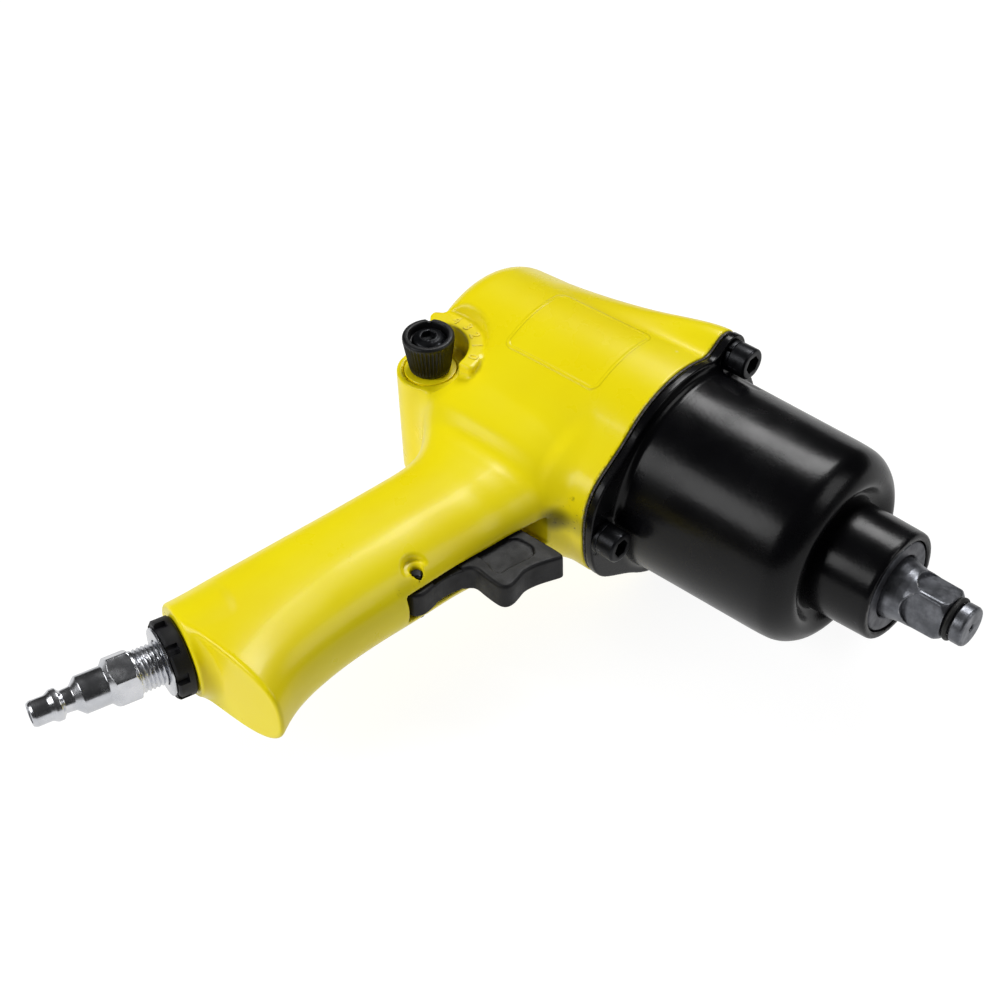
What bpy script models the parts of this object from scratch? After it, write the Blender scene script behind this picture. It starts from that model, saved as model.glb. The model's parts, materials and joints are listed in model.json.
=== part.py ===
"""Pistol-handle air impact wrench, 1/2 inch square drive, lying on its left side.

Frame: +X points forward along the drive, +Y towards the tool's top (the handle
hangs towards -Y), +Z towards the tool's right side, where the regulator knob is.
The origin is the centre of the housing's flat rear face, on the drive axis.
Shapes are drawn in millimetres with x = 0 at the hammer case's nose face; MM turns
lengths into metres and ORIGIN carries the drawing into the tool's frame.
"""

import math

import bmesh
import bpy
from mathutils import Matrix, Vector

MM = 0.001
FIT = 0.3                     # clearance left between neighbouring pieces

# Motor housing barrel
REAR_X = -166.0               # rear face
ORIGIN = (REAR_X, 0.0, 0.0)   # where the frame's origin lies in the drawing
FACE_X = -82.8                # front joint face
FLANGE_R = 36.5               # round part of the joint between housing and case
BORE_R = 27.2                 # motor bore
BORE_END_X = -146.0

# Screws that clamp the hammer case to the housing
# (angle from +Y towards +Z, distance from the drive axis)
SCREW_PLACES = ((54.5, 38.2), (180.0, 39.3), (305.5, 38.2))
UPPER_SCREWS = (SCREW_PLACES[0], SCREW_PLACES[2])
SCREW_R = 3.0
SCREW_HEAD_R = 5.0
SCREW_HEAD_LEN = 6.0
SCREW_TIP_X = -94.0
EAR_R = 6.5                   # round ears of the two upper screws
EAR_ROOT = 5.2                # how far inside the screw's centre the ears' flanks end
EAR_ROOT_ANGLE = 24.0         # how far they spread to each side
LUG_REAR_X = -98.0            # inside the handle
# Right half of the wide lug round the lower screw, (y, z) from the flange downwards
LUG_HALF = ((-28.0, 23.0), (-34.5, 20.4), (-39.3, 16.8), (-42.6, 12.0), (-43.9, 6.0))
LUG_ROOT_R = 33.0             # how deep the lug is rooted in the flange
WASHER_T = 1.5

# Hammer case
GASKET_X = (-82.5, -81.9)
CASE_REAR_X = -81.6
FLANGE_T = 2.8
CASE_R = 32.1
CASE_BORE_R = 28.9
CASE_BORE_END_X = -33.6
NOSE_R = 17.4
BUSH_R = 14.6

# Anvil
DRIVE_AF = 12.7               # half-inch square across flats
DRIVE_TURN = -15.0            # how the square stands at rest
ANVIL_TIP_X = 24.8
ANVIL_REAR_X = -72.4
SHANK_R = 9.6
ANVIL_CORE_R = 10.5
JAW_R = 13.0

# Motor
FRONT_PLATE_X = (-97.4, -89.0)
CYLINDER_X = (-136.6, -97.7)
REAR_PLATE_X = (-145.4, -136.9)
PLATE_R = BORE_R - FIT
LINER_BORE_R = 21.5
LINER_OFFSET = 2.0            # rotor axis to liner bore axis
ROTOR_R = LINER_BORE_R - LINER_OFFSET - FIT
VANE_COUNT = 6
VANE_T = 2.0
FRONT_JOURNAL_R = 6.0
REAR_JOURNAL_R = 5.0
BEARING_W = 7.6
SPLINE_TEETH = 8
SPLINE_R = (5.0, 5.8)
DOWEL_R = 1.3
DOWEL_Z = 24.3
DOWEL_X = (-144.5, -90.0)

# Hammer mechanism
CAGE_X = (-79.0, -35.6)
CAGE_END_T = 6.0
CAGE_R = 28.2
PIN_R = 3.0
PIN_Y = 22.6
RING_R = 22.3
RING_BORE_R = 16.0
RING_X = ((-72.6, -57.6), (-57.2, -42.0))
LUG_R = 11.2
LUG_HALF_ANGLE = 11.0

# Regulator valve, its boss and dial
KNOB_XY = (-155.5, -31.0)
BOSS_R = 10.6
BOSS_Z = (-21.0, 19.0)
SLEEVE_R = 7.4
SPOOL_R = 5.3
DIAL_R = (12.2, 17.4)
DIAL_TOP_Z = 27.6
DIAL_ANGLES = (0.0, 132.0)
POCKET_TOP = (45.0, 25.9)     # height and radius to which the wall behind the dial leans
KNOB_Z = (19.5, 32.3)
KNOB_R = (6.7, 8.2)           # at its foot and near its top

# Handle and inlet
HANDLE_END_Y = -152.5
INLET_XY = (-139.4, -152.4)
INLET_TILT = math.radians(19.4)          # nipple axis, back from -Y
INLET_BOSS_R = 13.6
INLET_BUSH_R = 8.2
INLET_COLLAR_R = 10.3         # collar that holds the deflector
THREAD_R = 6.5
DEFLECTOR_R = 12.0
DEFLECTOR_END = 5.8           # its front face, measured along the nipple
EXHAUST_Z = 10.9
EXHAUST_R = 2.0

# Trigger and throttle
TRIGGER_PIN_XY = (-104.5, -92.0)
TRIGGER_PIN_R = 1.6
TRIGGER_PIN_HALF = 9.6
TRIGGER_HALF_W = 4.6
SLOT_HALF_W = 5.2
PIN_RECESS_R = 3.8
PIN_RECESS_Z = 10.2
SLOT_FLOOR_X = -109.0
THROTTLE_END_X = -133.0
STEM_Y = -66.0
STEM_R = 1.9
STEM_TIP_X = -102.8
GUIDE_R = 4.7                 # passes through the trigger slot
GUIDE_X = (-121.0, -109.3)
SEAT_R = 3.1
POPPET_R = 3.9
SPRING_R = 3.3

CASTING_SOLVER = "MANIFOLD"   # for the two castings, which are made of many curved shapes

INLET_CENTRE = (INLET_XY[0], INLET_XY[1], 0.0)
KNOB_CENTRE = (KNOB_XY[0], KNOB_XY[1], 0.0)
STEM_CENTRE = (0.0, STEM_Y, 0.0)
PIN_CENTRE = (TRIGGER_PIN_XY[0], TRIGGER_PIN_XY[1], 0.0)

AXIS_TURN = {
    "X": Matrix.Identity(4),
    "Y": Matrix.Rotation(math.radians(90.0), 4, "Z"),
    "Z": Matrix.Rotation(math.radians(-90.0), 4, "Y"),
    "INLET": Matrix.Rotation(-math.pi / 2.0 - INLET_TILT, 4, "Z"),
}


def clear_scene():
    for item in list(bpy.data.objects):
        bpy.data.objects.remove(item, do_unlink=True)


def make_material(name, colour, roughness, metallic):
    mat = bpy.data.materials.new(name)
    mat.use_nodes = True
    shader = mat.node_tree.nodes["Principled BSDF"]
    shader.inputs["Base Color"].default_value = (*colour, 1.0)
    shader.inputs["Roughness"].default_value = roughness
    shader.inputs["Metallic"].default_value = metallic
    return mat


def to_object(name, bm, look, pivot=(0.0, 0.0, 0.0), smooth=35.0):
    """Make an object, its own origin at pivot, from a bmesh drawn in millimetres.

    look is (colour, roughness, metallic), or None for a hidden helper.
    """
    bmesh.ops.recalc_face_normals(bm, faces=bm.faces)
    bmesh.ops.translate(bm, verts=bm.verts, vec=-Vector(pivot))
    bmesh.ops.scale(bm, verts=bm.verts, vec=(MM, MM, MM))
    mesh = bpy.data.meshes.new(name)
    bm.to_mesh(mesh)
    bm.free()
    mesh.shade_smooth()
    mesh.set_sharp_from_angle(angle=math.radians(smooth))
    obj = bpy.data.objects.new(name, mesh)
    obj.location = (Vector(pivot) - Vector(ORIGIN)) * MM
    bpy.context.scene.collection.objects.link(obj)
    if look is not None:
        mesh.materials.append(make_material(name, *look))
    return obj


def turned(profile, axis="X", centre=(0.0, 0.0, 0.0), steps=24):
    """Spin a profile of (distance along axis, radius); it ends on the axis or closes."""
    bm = bmesh.new()
    verts = [bm.verts.new((along, radius, 0.0)) for along, radius in profile]
    edges = [bm.edges.new(pair) for pair in zip(verts, verts[1:])]
    if profile[0][1] > 0.0:
        edges.append(bm.edges.new((verts[-1], verts[0])))
    bmesh.ops.spin(bm, geom=verts + edges, cent=(0, 0, 0), axis=(1, 0, 0),
                   dvec=(0, 0, 0), angle=2.0 * math.pi, steps=steps, use_merge=True)
    bmesh.ops.remove_doubles(bm, verts=bm.verts, dist=0.001)
    bmesh.ops.transform(bm, verts=bm.verts, matrix=AXIS_TURN[axis])
    bmesh.ops.translate(bm, verts=bm.verts, vec=centre)
    return bm


def rod(start, end, radius, axis="X", centre=(0.0, 0.0, 0.0), steps=20):
    profile = [(start, 0.0), (start, radius), (end, radius), (end, 0.0)]
    return turned(profile, axis, centre, steps)


def tube(start, end, outer, inner, axis="X", centre=(0.0, 0.0, 0.0), steps=20):
    profile = [(start, inner), (start, outer), (end, outer), (end, inner)]
    return turned(profile, axis, centre, steps)


def ring_seal(along, radius, section_r, axis="X", centre=(0.0, 0.0, 0.0), steps=16):
    """O-ring round the axis at the given distance along it."""
    profile = []
    sides = 6
    for i in range(sides):
        turn = 2.0 * math.pi * i / sides
        profile.append((along + section_r * math.cos(turn),
                        radius + section_r * math.sin(turn)))
    return turned(profile, axis, centre, steps)


def prism(outline, low, high, axis="Z"):
    """Extrude a closed outline: (x, y) points along Z, or (y, z) points along X."""
    bm = bmesh.new()
    if axis == "Z":
        verts = [bm.verts.new((a, b, low)) for a, b in outline]
        travel = (0.0, 0.0, high - low)
    else:
        verts = [bm.verts.new((low, a, b)) for a, b in outline]
        travel = (high - low, 0.0, 0.0)
    face = bm.faces.new(verts)
    out = bmesh.ops.extrude_face_region(bm, geom=[face])
    moved = [item for item in out["geom"] if isinstance(item, bmesh.types.BMVert)]
    bmesh.ops.translate(bm, verts=moved, vec=travel)
    return bm


def loft(rings):
    """Skin a row of rings that hold the same number of points, with flat caps."""
    bm = bmesh.new()
    rows = [[bm.verts.new(point) for point in ring] for ring in rings]
    count = len(rows[0])
    for row, after in zip(rows, rows[1:]):
        for i in range(count):
            j = (i + 1) % count
            bm.faces.new((row[i], row[j], after[j], after[i]))
    bm.faces.new(rows[0])
    bm.faces.new(rows[-1])
    return bm


def box(low, high):
    bm = bmesh.new()
    bmesh.ops.create_cube(bm, size=1.0)
    bmesh.ops.scale(bm, verts=bm.verts, vec=[b - a for a, b in zip(low, high)])
    bmesh.ops.translate(bm, verts=bm.verts, vec=[(a + b) / 2.0 for a, b in zip(low, high)])
    return bm


def bar_between(start, end, radius, steps=12):
    """Round bar from one point to another."""
    start, end = Vector(start), Vector(end)
    line = end - start
    bm = rod(0.0, line.length, radius, steps=steps)
    turn = Vector((1.0, 0.0, 0.0)).rotation_difference(line).to_matrix().to_4x4()
    bmesh.ops.transform(bm, verts=bm.verts, matrix=turn)
    bmesh.ops.translate(bm, verts=bm.verts, vec=start)
    return bm


def superellipse(x_back, x_front, half_w, y, back_power, front_power, count=22):
    """Handle section in a plane of constant y, squarer at the back than at the front."""
    ring = []
    middle = (x_back + x_front) / 2.0
    half_d = (x_front - x_back) / 2.0
    for i in range(count):
        turn = 2.0 * math.pi * i / count
        c, s = math.cos(turn), math.sin(turn)
        power = front_power if c > 0.0 else back_power
        x = middle + half_d * math.copysign(abs(c) ** (2.0 / power), c)
        z = half_w * math.copysign(abs(s) ** (2.0 / power), s)
        ring.append((x, y, z))
    return ring


def polar(radius, degrees):
    """Point in the YZ plane, the angle running from +Y towards +Z."""
    turn = math.radians(degrees)
    return radius * math.cos(turn), radius * math.sin(turn)


def sector(inner, outer, start, end, centre=(0.0, 0.0), count=12):
    """Outline of a ring sector."""
    points = []
    for radius, first, last in ((inner, start, end), (outer, end, start)):
        for i in range(count + 1):
            y, z = polar(radius, first + (last - first) * i / count)
            points.append((centre[0] + y, centre[1] + z))
    return points


def toothed(inner, outer, teeth):
    """Spline outline, flanks between two radii."""
    points = []
    for i in range(teeth):
        for share, radius in ((0.0, outer), (0.28, outer), (0.5, inner), (0.78, inner)):
            points.append(polar(radius, 360.0 * (i + share) / teeth))
    return points


def polygon(radius, sides, turn=0.0):
    return [polar(radius, turn + 360.0 * i / sides) for i in range(sides)]


def combine(target, bm, operation, solver):
    """Boolean with a hidden helper object that travels with the target."""
    helper = to_object("tool_" + target.name, bm, None)
    helper.hide_render = True
    helper.display_type = "WIRE"
    helper.parent = target
    helper.matrix_parent_inverse = Matrix.Translation(-target.location)
    step = target.modifiers.new("shape", "BOOLEAN")
    step.operation = operation
    step.solver = solver
    step.object = helper


def cut(target, bm, solver="EXACT"):
    combine(target, bm, "DIFFERENCE", solver)


def add(target, bm, solver="EXACT"):
    combine(target, bm, "UNION", solver)


def screw_points():
    return [polar(reach, degrees) for degrees, reach in SCREW_PLACES]


def lug_outline(shrink=0.0):
    """Outline of the wide lower lug, rooted in the flange on its inner side."""
    right = [(y + shrink, z - shrink) for y, z in LUG_HALF]
    left = [(y, -z) for y, z in reversed(right)]
    root = [polar(LUG_ROOT_R, degrees) for degrees in (219.4, 200.0, 180.0, 160.0, 140.6)]
    return right + left + root


def ear_outline(degrees, reach, radius):
    """Round ear with flanks that spread towards the drive axis."""
    centre_y, centre_z = polar(reach, degrees)
    outline = []
    for i in range(9):
        y, z = polar(radius, degrees - 80.0 + 20.0 * i)
        outline.append((centre_y + y, centre_z + z))
    for side in (EAR_ROOT_ANGLE, -EAR_ROOT_ANGLE):
        outline.append(polar(reach - EAR_ROOT, degrees + side))
    return outline


def flange_ears(shrink=0.0):
    """Outlines of the two ears and the lug that the round flange carries."""
    ears = [ear_outline(degrees, reach, EAR_R - shrink) for degrees, reach in UPPER_SCREWS]
    return ears + [lug_outline(shrink)]


def build_housing(look):
    profile = [
        (REAR_X, 0.0), (REAR_X, 25.0), (-165.2, 28.4), (-162.9, 31.3), (-159.3, 33.2),
        (-154.5, 34.1), (-146.0, 34.0), (-138.0, 34.4), (-118.0, 35.3), (-96.0, 36.1),
        (FACE_X, FLANGE_R), (FACE_X, 0.0),
    ]
    housing = to_object("motor_housing", turned(profile, steps=36), look)

    # Two upper ribs that carry the screws, fading into the barrel towards the rear,
    # and the lower lug, which runs back into the handle.
    for degrees, reach in UPPER_SCREWS:
        rings = []
        for x, radius, sink in ((FACE_X, EAR_R, 0.0), (-92.0, EAR_R, 1.2),
                                (-100.0, EAR_R, 3.2), (-114.0, 6.4, 6.8),
                                (-134.0, 6.0, 12.0)):
            outline = ear_outline(degrees, reach - sink, radius)
            rings.append([(x, y, z) for y, z in outline])
        add(housing, loft(rings), CASTING_SOLVER)
    add(housing, prism(lug_outline(), LUG_REAR_X, FACE_X, "X"), CASTING_SOLVER)

    # Handle: sections from inside the barrel down to the flat end.
    sections = (
        (-152.0, -88.0, 27.5, -20.0, 4.0, 3.0), (-151.0, -88.5, 25.0, -30.0, 4.0, 3.0),
        (-150.5, -90.0, 23.0, -38.0, 4.0, 2.8), (-149.0, -91.2, 21.6, -42.0, 4.0, 2.7),
        (-144.8, -92.5, 18.2, -47.0, 3.8, 2.6), (-141.0, -93.8, 17.4, -52.0, 3.5, 2.5),
        (-138.8, -94.8, 16.9, -57.0, 3.3, 2.4), (-138.0, -95.8, 16.4, -62.0, 3.3, 2.3),
        (-138.3, -96.7, 16.1, -68.0, 3.3, 2.3), (-140.2, -98.8, 15.7, -80.0, 3.3, 2.2),
        (-142.7, -100.5, 15.5, -94.0, 3.2, 2.2), (-145.4, -102.4, 15.3, -108.0, 3.1, 2.2),
        (-147.8, -103.6, 15.0, -120.0, 3.0, 2.3), (-149.8, -103.8, 14.9, -130.0, 2.9, 2.4),
        (-151.4, -103.2, 14.8, -138.0, 2.8, 2.5), (-152.8, -101.6, 14.7, -145.0, 2.7, 2.6),
        (-154.3, -98.5, 14.6, HANDLE_END_Y, 2.7, 2.7),
    )
    add(housing, loft([superellipse(*section) for section in sections]), CASTING_SOLVER)

    # Inlet boss, square to the nipple, and the handle's rear corner trimmed level with it.
    add(housing, rod(-16.0, 0.0, INLET_BOSS_R, "INLET", INLET_CENTRE, 22), CASTING_SOLVER)
    trim = box((0.0, -40.0, -30.0), (30.0, 40.0, 30.0))
    bmesh.ops.transform(trim, verts=trim.verts, matrix=AXIS_TURN["INLET"])
    bmesh.ops.translate(trim, verts=trim.verts, vec=INLET_CENTRE)
    cut(housing, trim, CASTING_SOLVER)

    # Valve boss across the rear lower corner, dial pocket and raised dial arc.
    add(housing, rod(BOSS_Z[0], BOSS_Z[1], BOSS_R, "Z", KNOB_CENTRE, 20), CASTING_SOLVER)
    arc = prism(sector(BOSS_R - 2.0, DIAL_R[1], *DIAL_ANGLES, KNOB_XY), 6.0, DIAL_TOP_Z + 2.0)
    add(housing, arc, CASTING_SOLVER)
    pocket = [(BOSS_Z[1], 0.0), (BOSS_Z[1], DIAL_R[0]), (DIAL_TOP_Z, DIAL_R[0]),
              (DIAL_TOP_Z, DIAL_R[1] + FIT), POCKET_TOP, (POCKET_TOP[0], 0.0)]
    cut(housing, turned(pocket, "Z", KNOB_CENTRE), CASTING_SOLVER)
    cut(housing, box((REAR_X - 20.0, -60.0, -50.0), (REAR_X, 50.0, 50.0)), CASTING_SOLVER)

    # Motor bore, regulator valve bore and the counterbore for the sleeve's collar.
    cut(housing, rod(BORE_END_X, FACE_X + 1.0, BORE_R, steps=32), CASTING_SOLVER)
    cut(housing, rod(-14.0, 20.0, SLEEVE_R + FIT, "Z", KNOB_CENTRE), CASTING_SOLVER)
    cut(housing, rod(15.6, 20.0, 8.5, "Z", KNOB_CENTRE), CASTING_SOLVER)

    for y, z in screw_points():
        hole = rod(SCREW_TIP_X - 2.0, FACE_X + 1.0, SCREW_R + FIT, "X", (0.0, y, z), 14)
        cut(housing, hole, CASTING_SOLVER)

    # Trigger slot, cross-pin hole with its scooped sides, and throttle bore.
    slot = [(SLOT_FLOOR_X, -98.6), (-92.0, -98.6), (-78.0, -74.0), (-78.0, -49.0),
            (-90.0, -47.2), (SLOT_FLOOR_X, -49.0)]
    cut(housing, prism(slot, -SLOT_HALF_W, SLOT_HALF_W), CASTING_SOLVER)
    cut(housing, rod(-20.0, 20.0, TRIGGER_PIN_R + FIT, "Z", PIN_CENTRE, 14), CASTING_SOLVER)
    for start, end in ((PIN_RECESS_Z, 20.0), (-20.0, -PIN_RECESS_Z)):
        cut(housing, rod(start, end, PIN_RECESS_R, "Z", PIN_CENTRE, 18), CASTING_SOLVER)
    throttle_bore = rod(THROTTLE_END_X, SLOT_FLOOR_X + 1.0, GUIDE_R + FIT, "X", STEM_CENTRE)
    cut(housing, throttle_bore, CASTING_SOLVER)

    # Air in: bush recess, bore up the handle, port to the throttle's rear chamber,
    # port from the throttle to the regulator valve, and two ports into the motor.
    cut(housing, rod(-26.0, 1.0, INLET_BUSH_R + FIT, "INLET", INLET_CENTRE, 24), CASTING_SOLVER)
    cut(housing, rod(-60.0, -25.0, 5.0, "INLET", INLET_CENTRE, 14), CASTING_SOLVER)
    cut(housing, bar_between((-127.2, -106.0, 0.0), (-127.2, -62.0, 0.0), 3.2), CASTING_SOLVER)
    cut(housing, bar_between((-113.8, -61.8, 0.0), (-150.0, -33.5, 0.0), 3.0), CASTING_SOLVER)
    for z in (-7.0, 7.0):
        cut(housing, bar_between((-153.5, -23.6, z), (-145.0, -23.6, z), 2.4), CASTING_SOLVER)

    # Air out: two passages from the motor bore down to the deflector's annulus.
    for z in (-EXHAUST_Z, EXHAUST_Z):
        cut(housing, bar_between((INLET_XY[0] - 0.3, INLET_XY[1] - 1.5, z),
                                 (-120.0, -24.0, z), EXHAUST_R), CASTING_SOLVER)


def build_case(look):
    profile = [
        (CASE_REAR_X, CASE_BORE_R), (CASE_REAR_X, FLANGE_R), (CASE_REAR_X + 2.2, FLANGE_R),
        (CASE_REAR_X + FLANGE_T, 35.9), (-77.6, 34.0), (-76.0, 32.8), (-73.4, 32.4),
        (-28.0, CASE_R), (-24.4, 31.4), (-21.2, 29.4), (-19.4, 27.0), (-18.6, 24.8),
        (-19.2, 22.6), (-21.8, 20.5), (-23.0, 18.6), (-20.5, 17.8), (-1.2, NOSE_R),
        (0.0, 16.4),
        (0.0, BUSH_R + FIT), (-31.0, BUSH_R + FIT), (-31.0, 14.2), (CASE_BORE_END_X, 14.2),
        (CASE_BORE_END_X, CASE_BORE_R),
    ]
    case = to_object("hammer_case", turned(profile, steps=32), look)
    flange_front = CASE_REAR_X + FLANGE_T
    for outline in flange_ears():
        add(case, prism(outline, CASE_REAR_X, flange_front, "X"), CASTING_SOLVER)
    for y, z in screw_points():
        hole = rod(CASE_REAR_X - 1.0, flange_front + 1.0, SCREW_R + FIT, "X", (0.0, y, z), 14)
        cut(case, hole, CASTING_SOLVER)
        head_room = rod(flange_front, -66.0, SCREW_HEAD_R + 1.0, "X", (0.0, y, z), 14)
        cut(case, head_room, CASTING_SOLVER)


def build_gasket(look):
    plain = tube(*GASKET_X, FLANGE_R - FIT, CASE_BORE_R, steps=32)
    gasket = to_object("flange_gasket", plain, look)
    for outline in flange_ears(FIT):
        add(gasket, prism(outline, *GASKET_X, "X"))
    for y, z in screw_points():
        cut(gasket, rod(GASKET_X[0] - 1.0, GASKET_X[1] + 1.0, SCREW_R + FIT, "X",
                        (0.0, y, z), 14))


def build_screws(look):
    seat = CASE_REAR_X + FLANGE_T + 0.05
    head = seat + WASHER_T + 0.05
    top = head + SCREW_HEAD_LEN
    for number, (y, z) in enumerate(screw_points(), 1):
        profile = [(SCREW_TIP_X, 0.0), (SCREW_TIP_X, 2.4), (SCREW_TIP_X + 0.6, SCREW_R),
                   (head, SCREW_R), (head, SCREW_HEAD_R), (top - 0.4, SCREW_HEAD_R),
                   (top, SCREW_HEAD_R - 0.4), (top, 0.0)]
        screw = to_object("case_screw_%d" % number,
                          turned(profile, "X", (0.0, y, z), 16), look, (0.0, y, z))
        socket = [(y + a, z + b) for a, b in polygon(2.9, 6)]
        cut(screw, prism(socket, top - 3.2, top + 1.0, "X"))
        washer = to_object("spring_washer_%d" % number,
                           tube(seat, seat + WASHER_T, 5.1, SCREW_R + FIT, "X",
                                (0.0, y, z), 16), look, (0.0, y, z))
        out_y, out_z = polar(4.2, SCREW_PLACES[number - 1][0] + 70.0)
        cut(washer, box((seat - 1.0, y + out_y - 0.5, z + out_z - 2.0),
                        (seat + 3.0, y + out_y + 0.5, z + out_z + 2.0)))


def build_anvil(look):
    profile = [
        (ANVIL_REAR_X, 0.0), (ANVIL_REAR_X, ANVIL_CORE_R), (-41.8, ANVIL_CORE_R),
        (-41.8, 13.2), (-34.2, 13.2), (-34.0, SHANK_R), (0.4, SHANK_R), (2.6, 9.0),
        (5.0, 8.5), (16.6, 8.3), (18.2, 6.9), (18.2, 5.0), (20.9, 5.0), (20.9, 6.2),
        (24.2, 6.2), (ANVIL_TIP_X, 5.5), (ANVIL_TIP_X, 1.0), (21.5, 1.0), (21.5, 0.0),
    ]
    anvil = to_object("anvil", turned(profile), look)
    half = DRIVE_AF / 2.0
    for i in range(4):
        flat = box((5.6, half, -12.0), (18.1, 20.0, 12.0))
        turn = Matrix.Rotation(math.radians(DRIVE_TURN + 90.0 * i), 4, "X")
        bmesh.ops.transform(flat, verts=flat.verts, matrix=turn)
        cut(anvil, flat)
    for (start, end), first in zip(RING_X, (288.0, 108.0)):
        jaw = prism(sector(8.0, JAW_R, first, first + 46.0, count=5), start + 0.2,
                    end - 0.2, "X")
        add(anvil, jaw)


def build_cage(look):
    cage = to_object("hammer_cage", tube(*CAGE_X, CAGE_R, 13.6, steps=32), look)
    add(cage, prism(polygon(14.0, 16), CAGE_X[0], CAGE_X[0] + CAGE_END_T, "X"))
    window = box((CAGE_X[0] + CAGE_END_T, -PIN_Y - 0.3, -40.0),
                 (CAGE_X[1] - CAGE_END_T, PIN_Y + 0.3, 40.0))
    cut(cage, window)
    cut(cage, prism(toothed(SPLINE_R[0] + FIT, SPLINE_R[1] + FIT, SPLINE_TEETH),
                    CAGE_X[0] - 1.0, CAGE_X[0] + CAGE_END_T + 1.0, "X"))
    for y in (-PIN_Y, PIN_Y):
        cut(cage, rod(CAGE_X[0] - 1.0, CAGE_X[1] + 1.0, PIN_R + FIT, "X", (0.0, y, 0.0), 16))


def build_hammer_rings(look):
    """Each ring hangs on one pin; the other pin stands in its wide notch."""
    for name, (start, end), side in (("hammer_ring_rear", RING_X[0], 1.0),
                                     ("hammer_ring_front", RING_X[1], -1.0)):
        pivot = (0.0, side * PIN_Y, 0.0)
        ring = to_object(name, tube(start, end, RING_R, RING_BORE_R, steps=32), look, pivot)
        middle = 180.0 + side * 90.0
        lug = prism(sector(LUG_R, RING_BORE_R + 1.0, middle - LUG_HALF_ANGLE,
                           middle + LUG_HALF_ANGLE, count=4), start, end, "X")
        add(ring, lug)
        cut(ring, rod(start - 1.0, end + 1.0, PIN_R + FIT, "X", pivot, 12))
        low = (start - 1.0, -side * 26.0, -side * 3.4)
        high = (end + 1.0, -side * 18.9, side * 8.0)
        corners = [sorted(pair) for pair in zip(low, high)]
        cut(ring, box([a for a, b in corners], [b for a, b in corners]))


def build_motor(steel, liner_look, plate_look, vane_look, bearing_look):
    start, end = CYLINDER_X
    liner = to_object("motor_cylinder", rod(start, end, PLATE_R, steps=32), liner_look)
    cut(liner, rod(start - 1.0, end + 1.0, LINER_BORE_R, "X", (0.0, LINER_OFFSET, 0.0), 32))
    cut(liner, rod(start - 1.0, end + 1.0, DOWEL_R + FIT, "X", (0.0, 0.0, DOWEL_Z), 10))
    for z in (-EXHAUST_Z, EXHAUST_Z):
        cut(liner, rod(-30.0, -10.0, 2.4, "Y", (-120.0, 0.0, z), 12))

    front = to_object("front_end_plate", tube(*FRONT_PLATE_X, PLATE_R, 8.0, steps=32),
                      plate_look)
    cut(front, rod(FRONT_PLATE_X[1] - BEARING_W - FIT, FRONT_PLATE_X[1] + 1.0, 14.2))
    cut(front, rod(FRONT_PLATE_X[0] - 1.0, DOWEL_X[1] + FIT, DOWEL_R + FIT, "X",
                   (0.0, 0.0, DOWEL_Z), 10))
    rear = to_object("rear_end_plate", tube(*REAR_PLATE_X, PLATE_R, 7.0, steps=32),
                     plate_look)
    cut(rear, rod(REAR_PLATE_X[0] - 1.0, REAR_PLATE_X[0] + BEARING_W, 13.2))
    cut(rear, rod(DOWEL_X[0] - FIT, REAR_PLATE_X[1] + 1.0, DOWEL_R + FIT, "X",
                  (0.0, 0.0, DOWEL_Z), 10))
    for z in (-7.0, 7.0):
        cut(rear, bar_between((REAR_PLATE_X[0] - 1.0, -22.0, z),
                              (REAR_PLATE_X[1] + 1.0, -19.0, z), 2.2))

    for name, edge, outer, inner in (
            ("front_bearing", FRONT_PLATE_X[1] - BEARING_W, 13.9, FRONT_JOURNAL_R + FIT),
            ("rear_bearing", REAR_PLATE_X[0] + 0.1, 12.9, REAR_JOURNAL_R + FIT)):
        width = BEARING_W - 0.4
        groove = 0.7
        profile = [(edge, inner), (edge, inner + 2.0), (edge + groove, inner + 2.3),
                   (edge + groove, outer - 2.3), (edge, outer - 2.0), (edge, outer),
                   (edge + width, outer), (edge + width, inner)]
        to_object(name, turned(profile, steps=18), bearing_look)

    dowel = rod(*DOWEL_X, DOWEL_R, "X", (0.0, 0.0, DOWEL_Z), 10)
    to_object("cylinder_dowel", dowel, steel, (0.0, 0.0, DOWEL_Z))

    start, end = CYLINDER_X[0] + FIT, CYLINDER_X[1] - FIT
    profile = [
        (REAR_PLATE_X[0] + 0.4, 0.0), (REAR_PLATE_X[0] + 0.4, REAR_JOURNAL_R),
        (start, REAR_JOURNAL_R), (start, ROTOR_R), (end, ROTOR_R), (end, FRONT_JOURNAL_R),
        (-88.0, FRONT_JOURNAL_R), (-88.0, 4.8), (-86.0, 4.8), (-86.0, 0.0),
    ]
    rotor = to_object("rotor", turned(profile, steps=32), steel)
    add(rotor, prism(toothed(*SPLINE_R, SPLINE_TEETH), -87.0, -73.6, "X"))
    slot_w = VANE_T / 2.0 + FIT
    for i in range(VANE_COUNT):
        turn = Matrix.Rotation(2.0 * math.pi * (i + 0.5) / VANE_COUNT, 4, "X")
        slot = box((start - 1.0, 11.3, -slot_w), (end + 1.0, 30.0, slot_w))
        bmesh.ops.transform(slot, verts=slot.verts, matrix=turn)
        cut(rotor, slot)
        vane = box((start + 0.1, 11.7, -VANE_T / 2.0), (end - 0.1, ROTOR_R - 0.1, VANE_T / 2.0))
        bmesh.ops.transform(vane, verts=vane.verts, matrix=turn)
        to_object("rotor_vane_%d" % (i + 1), vane, vane_look)


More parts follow.
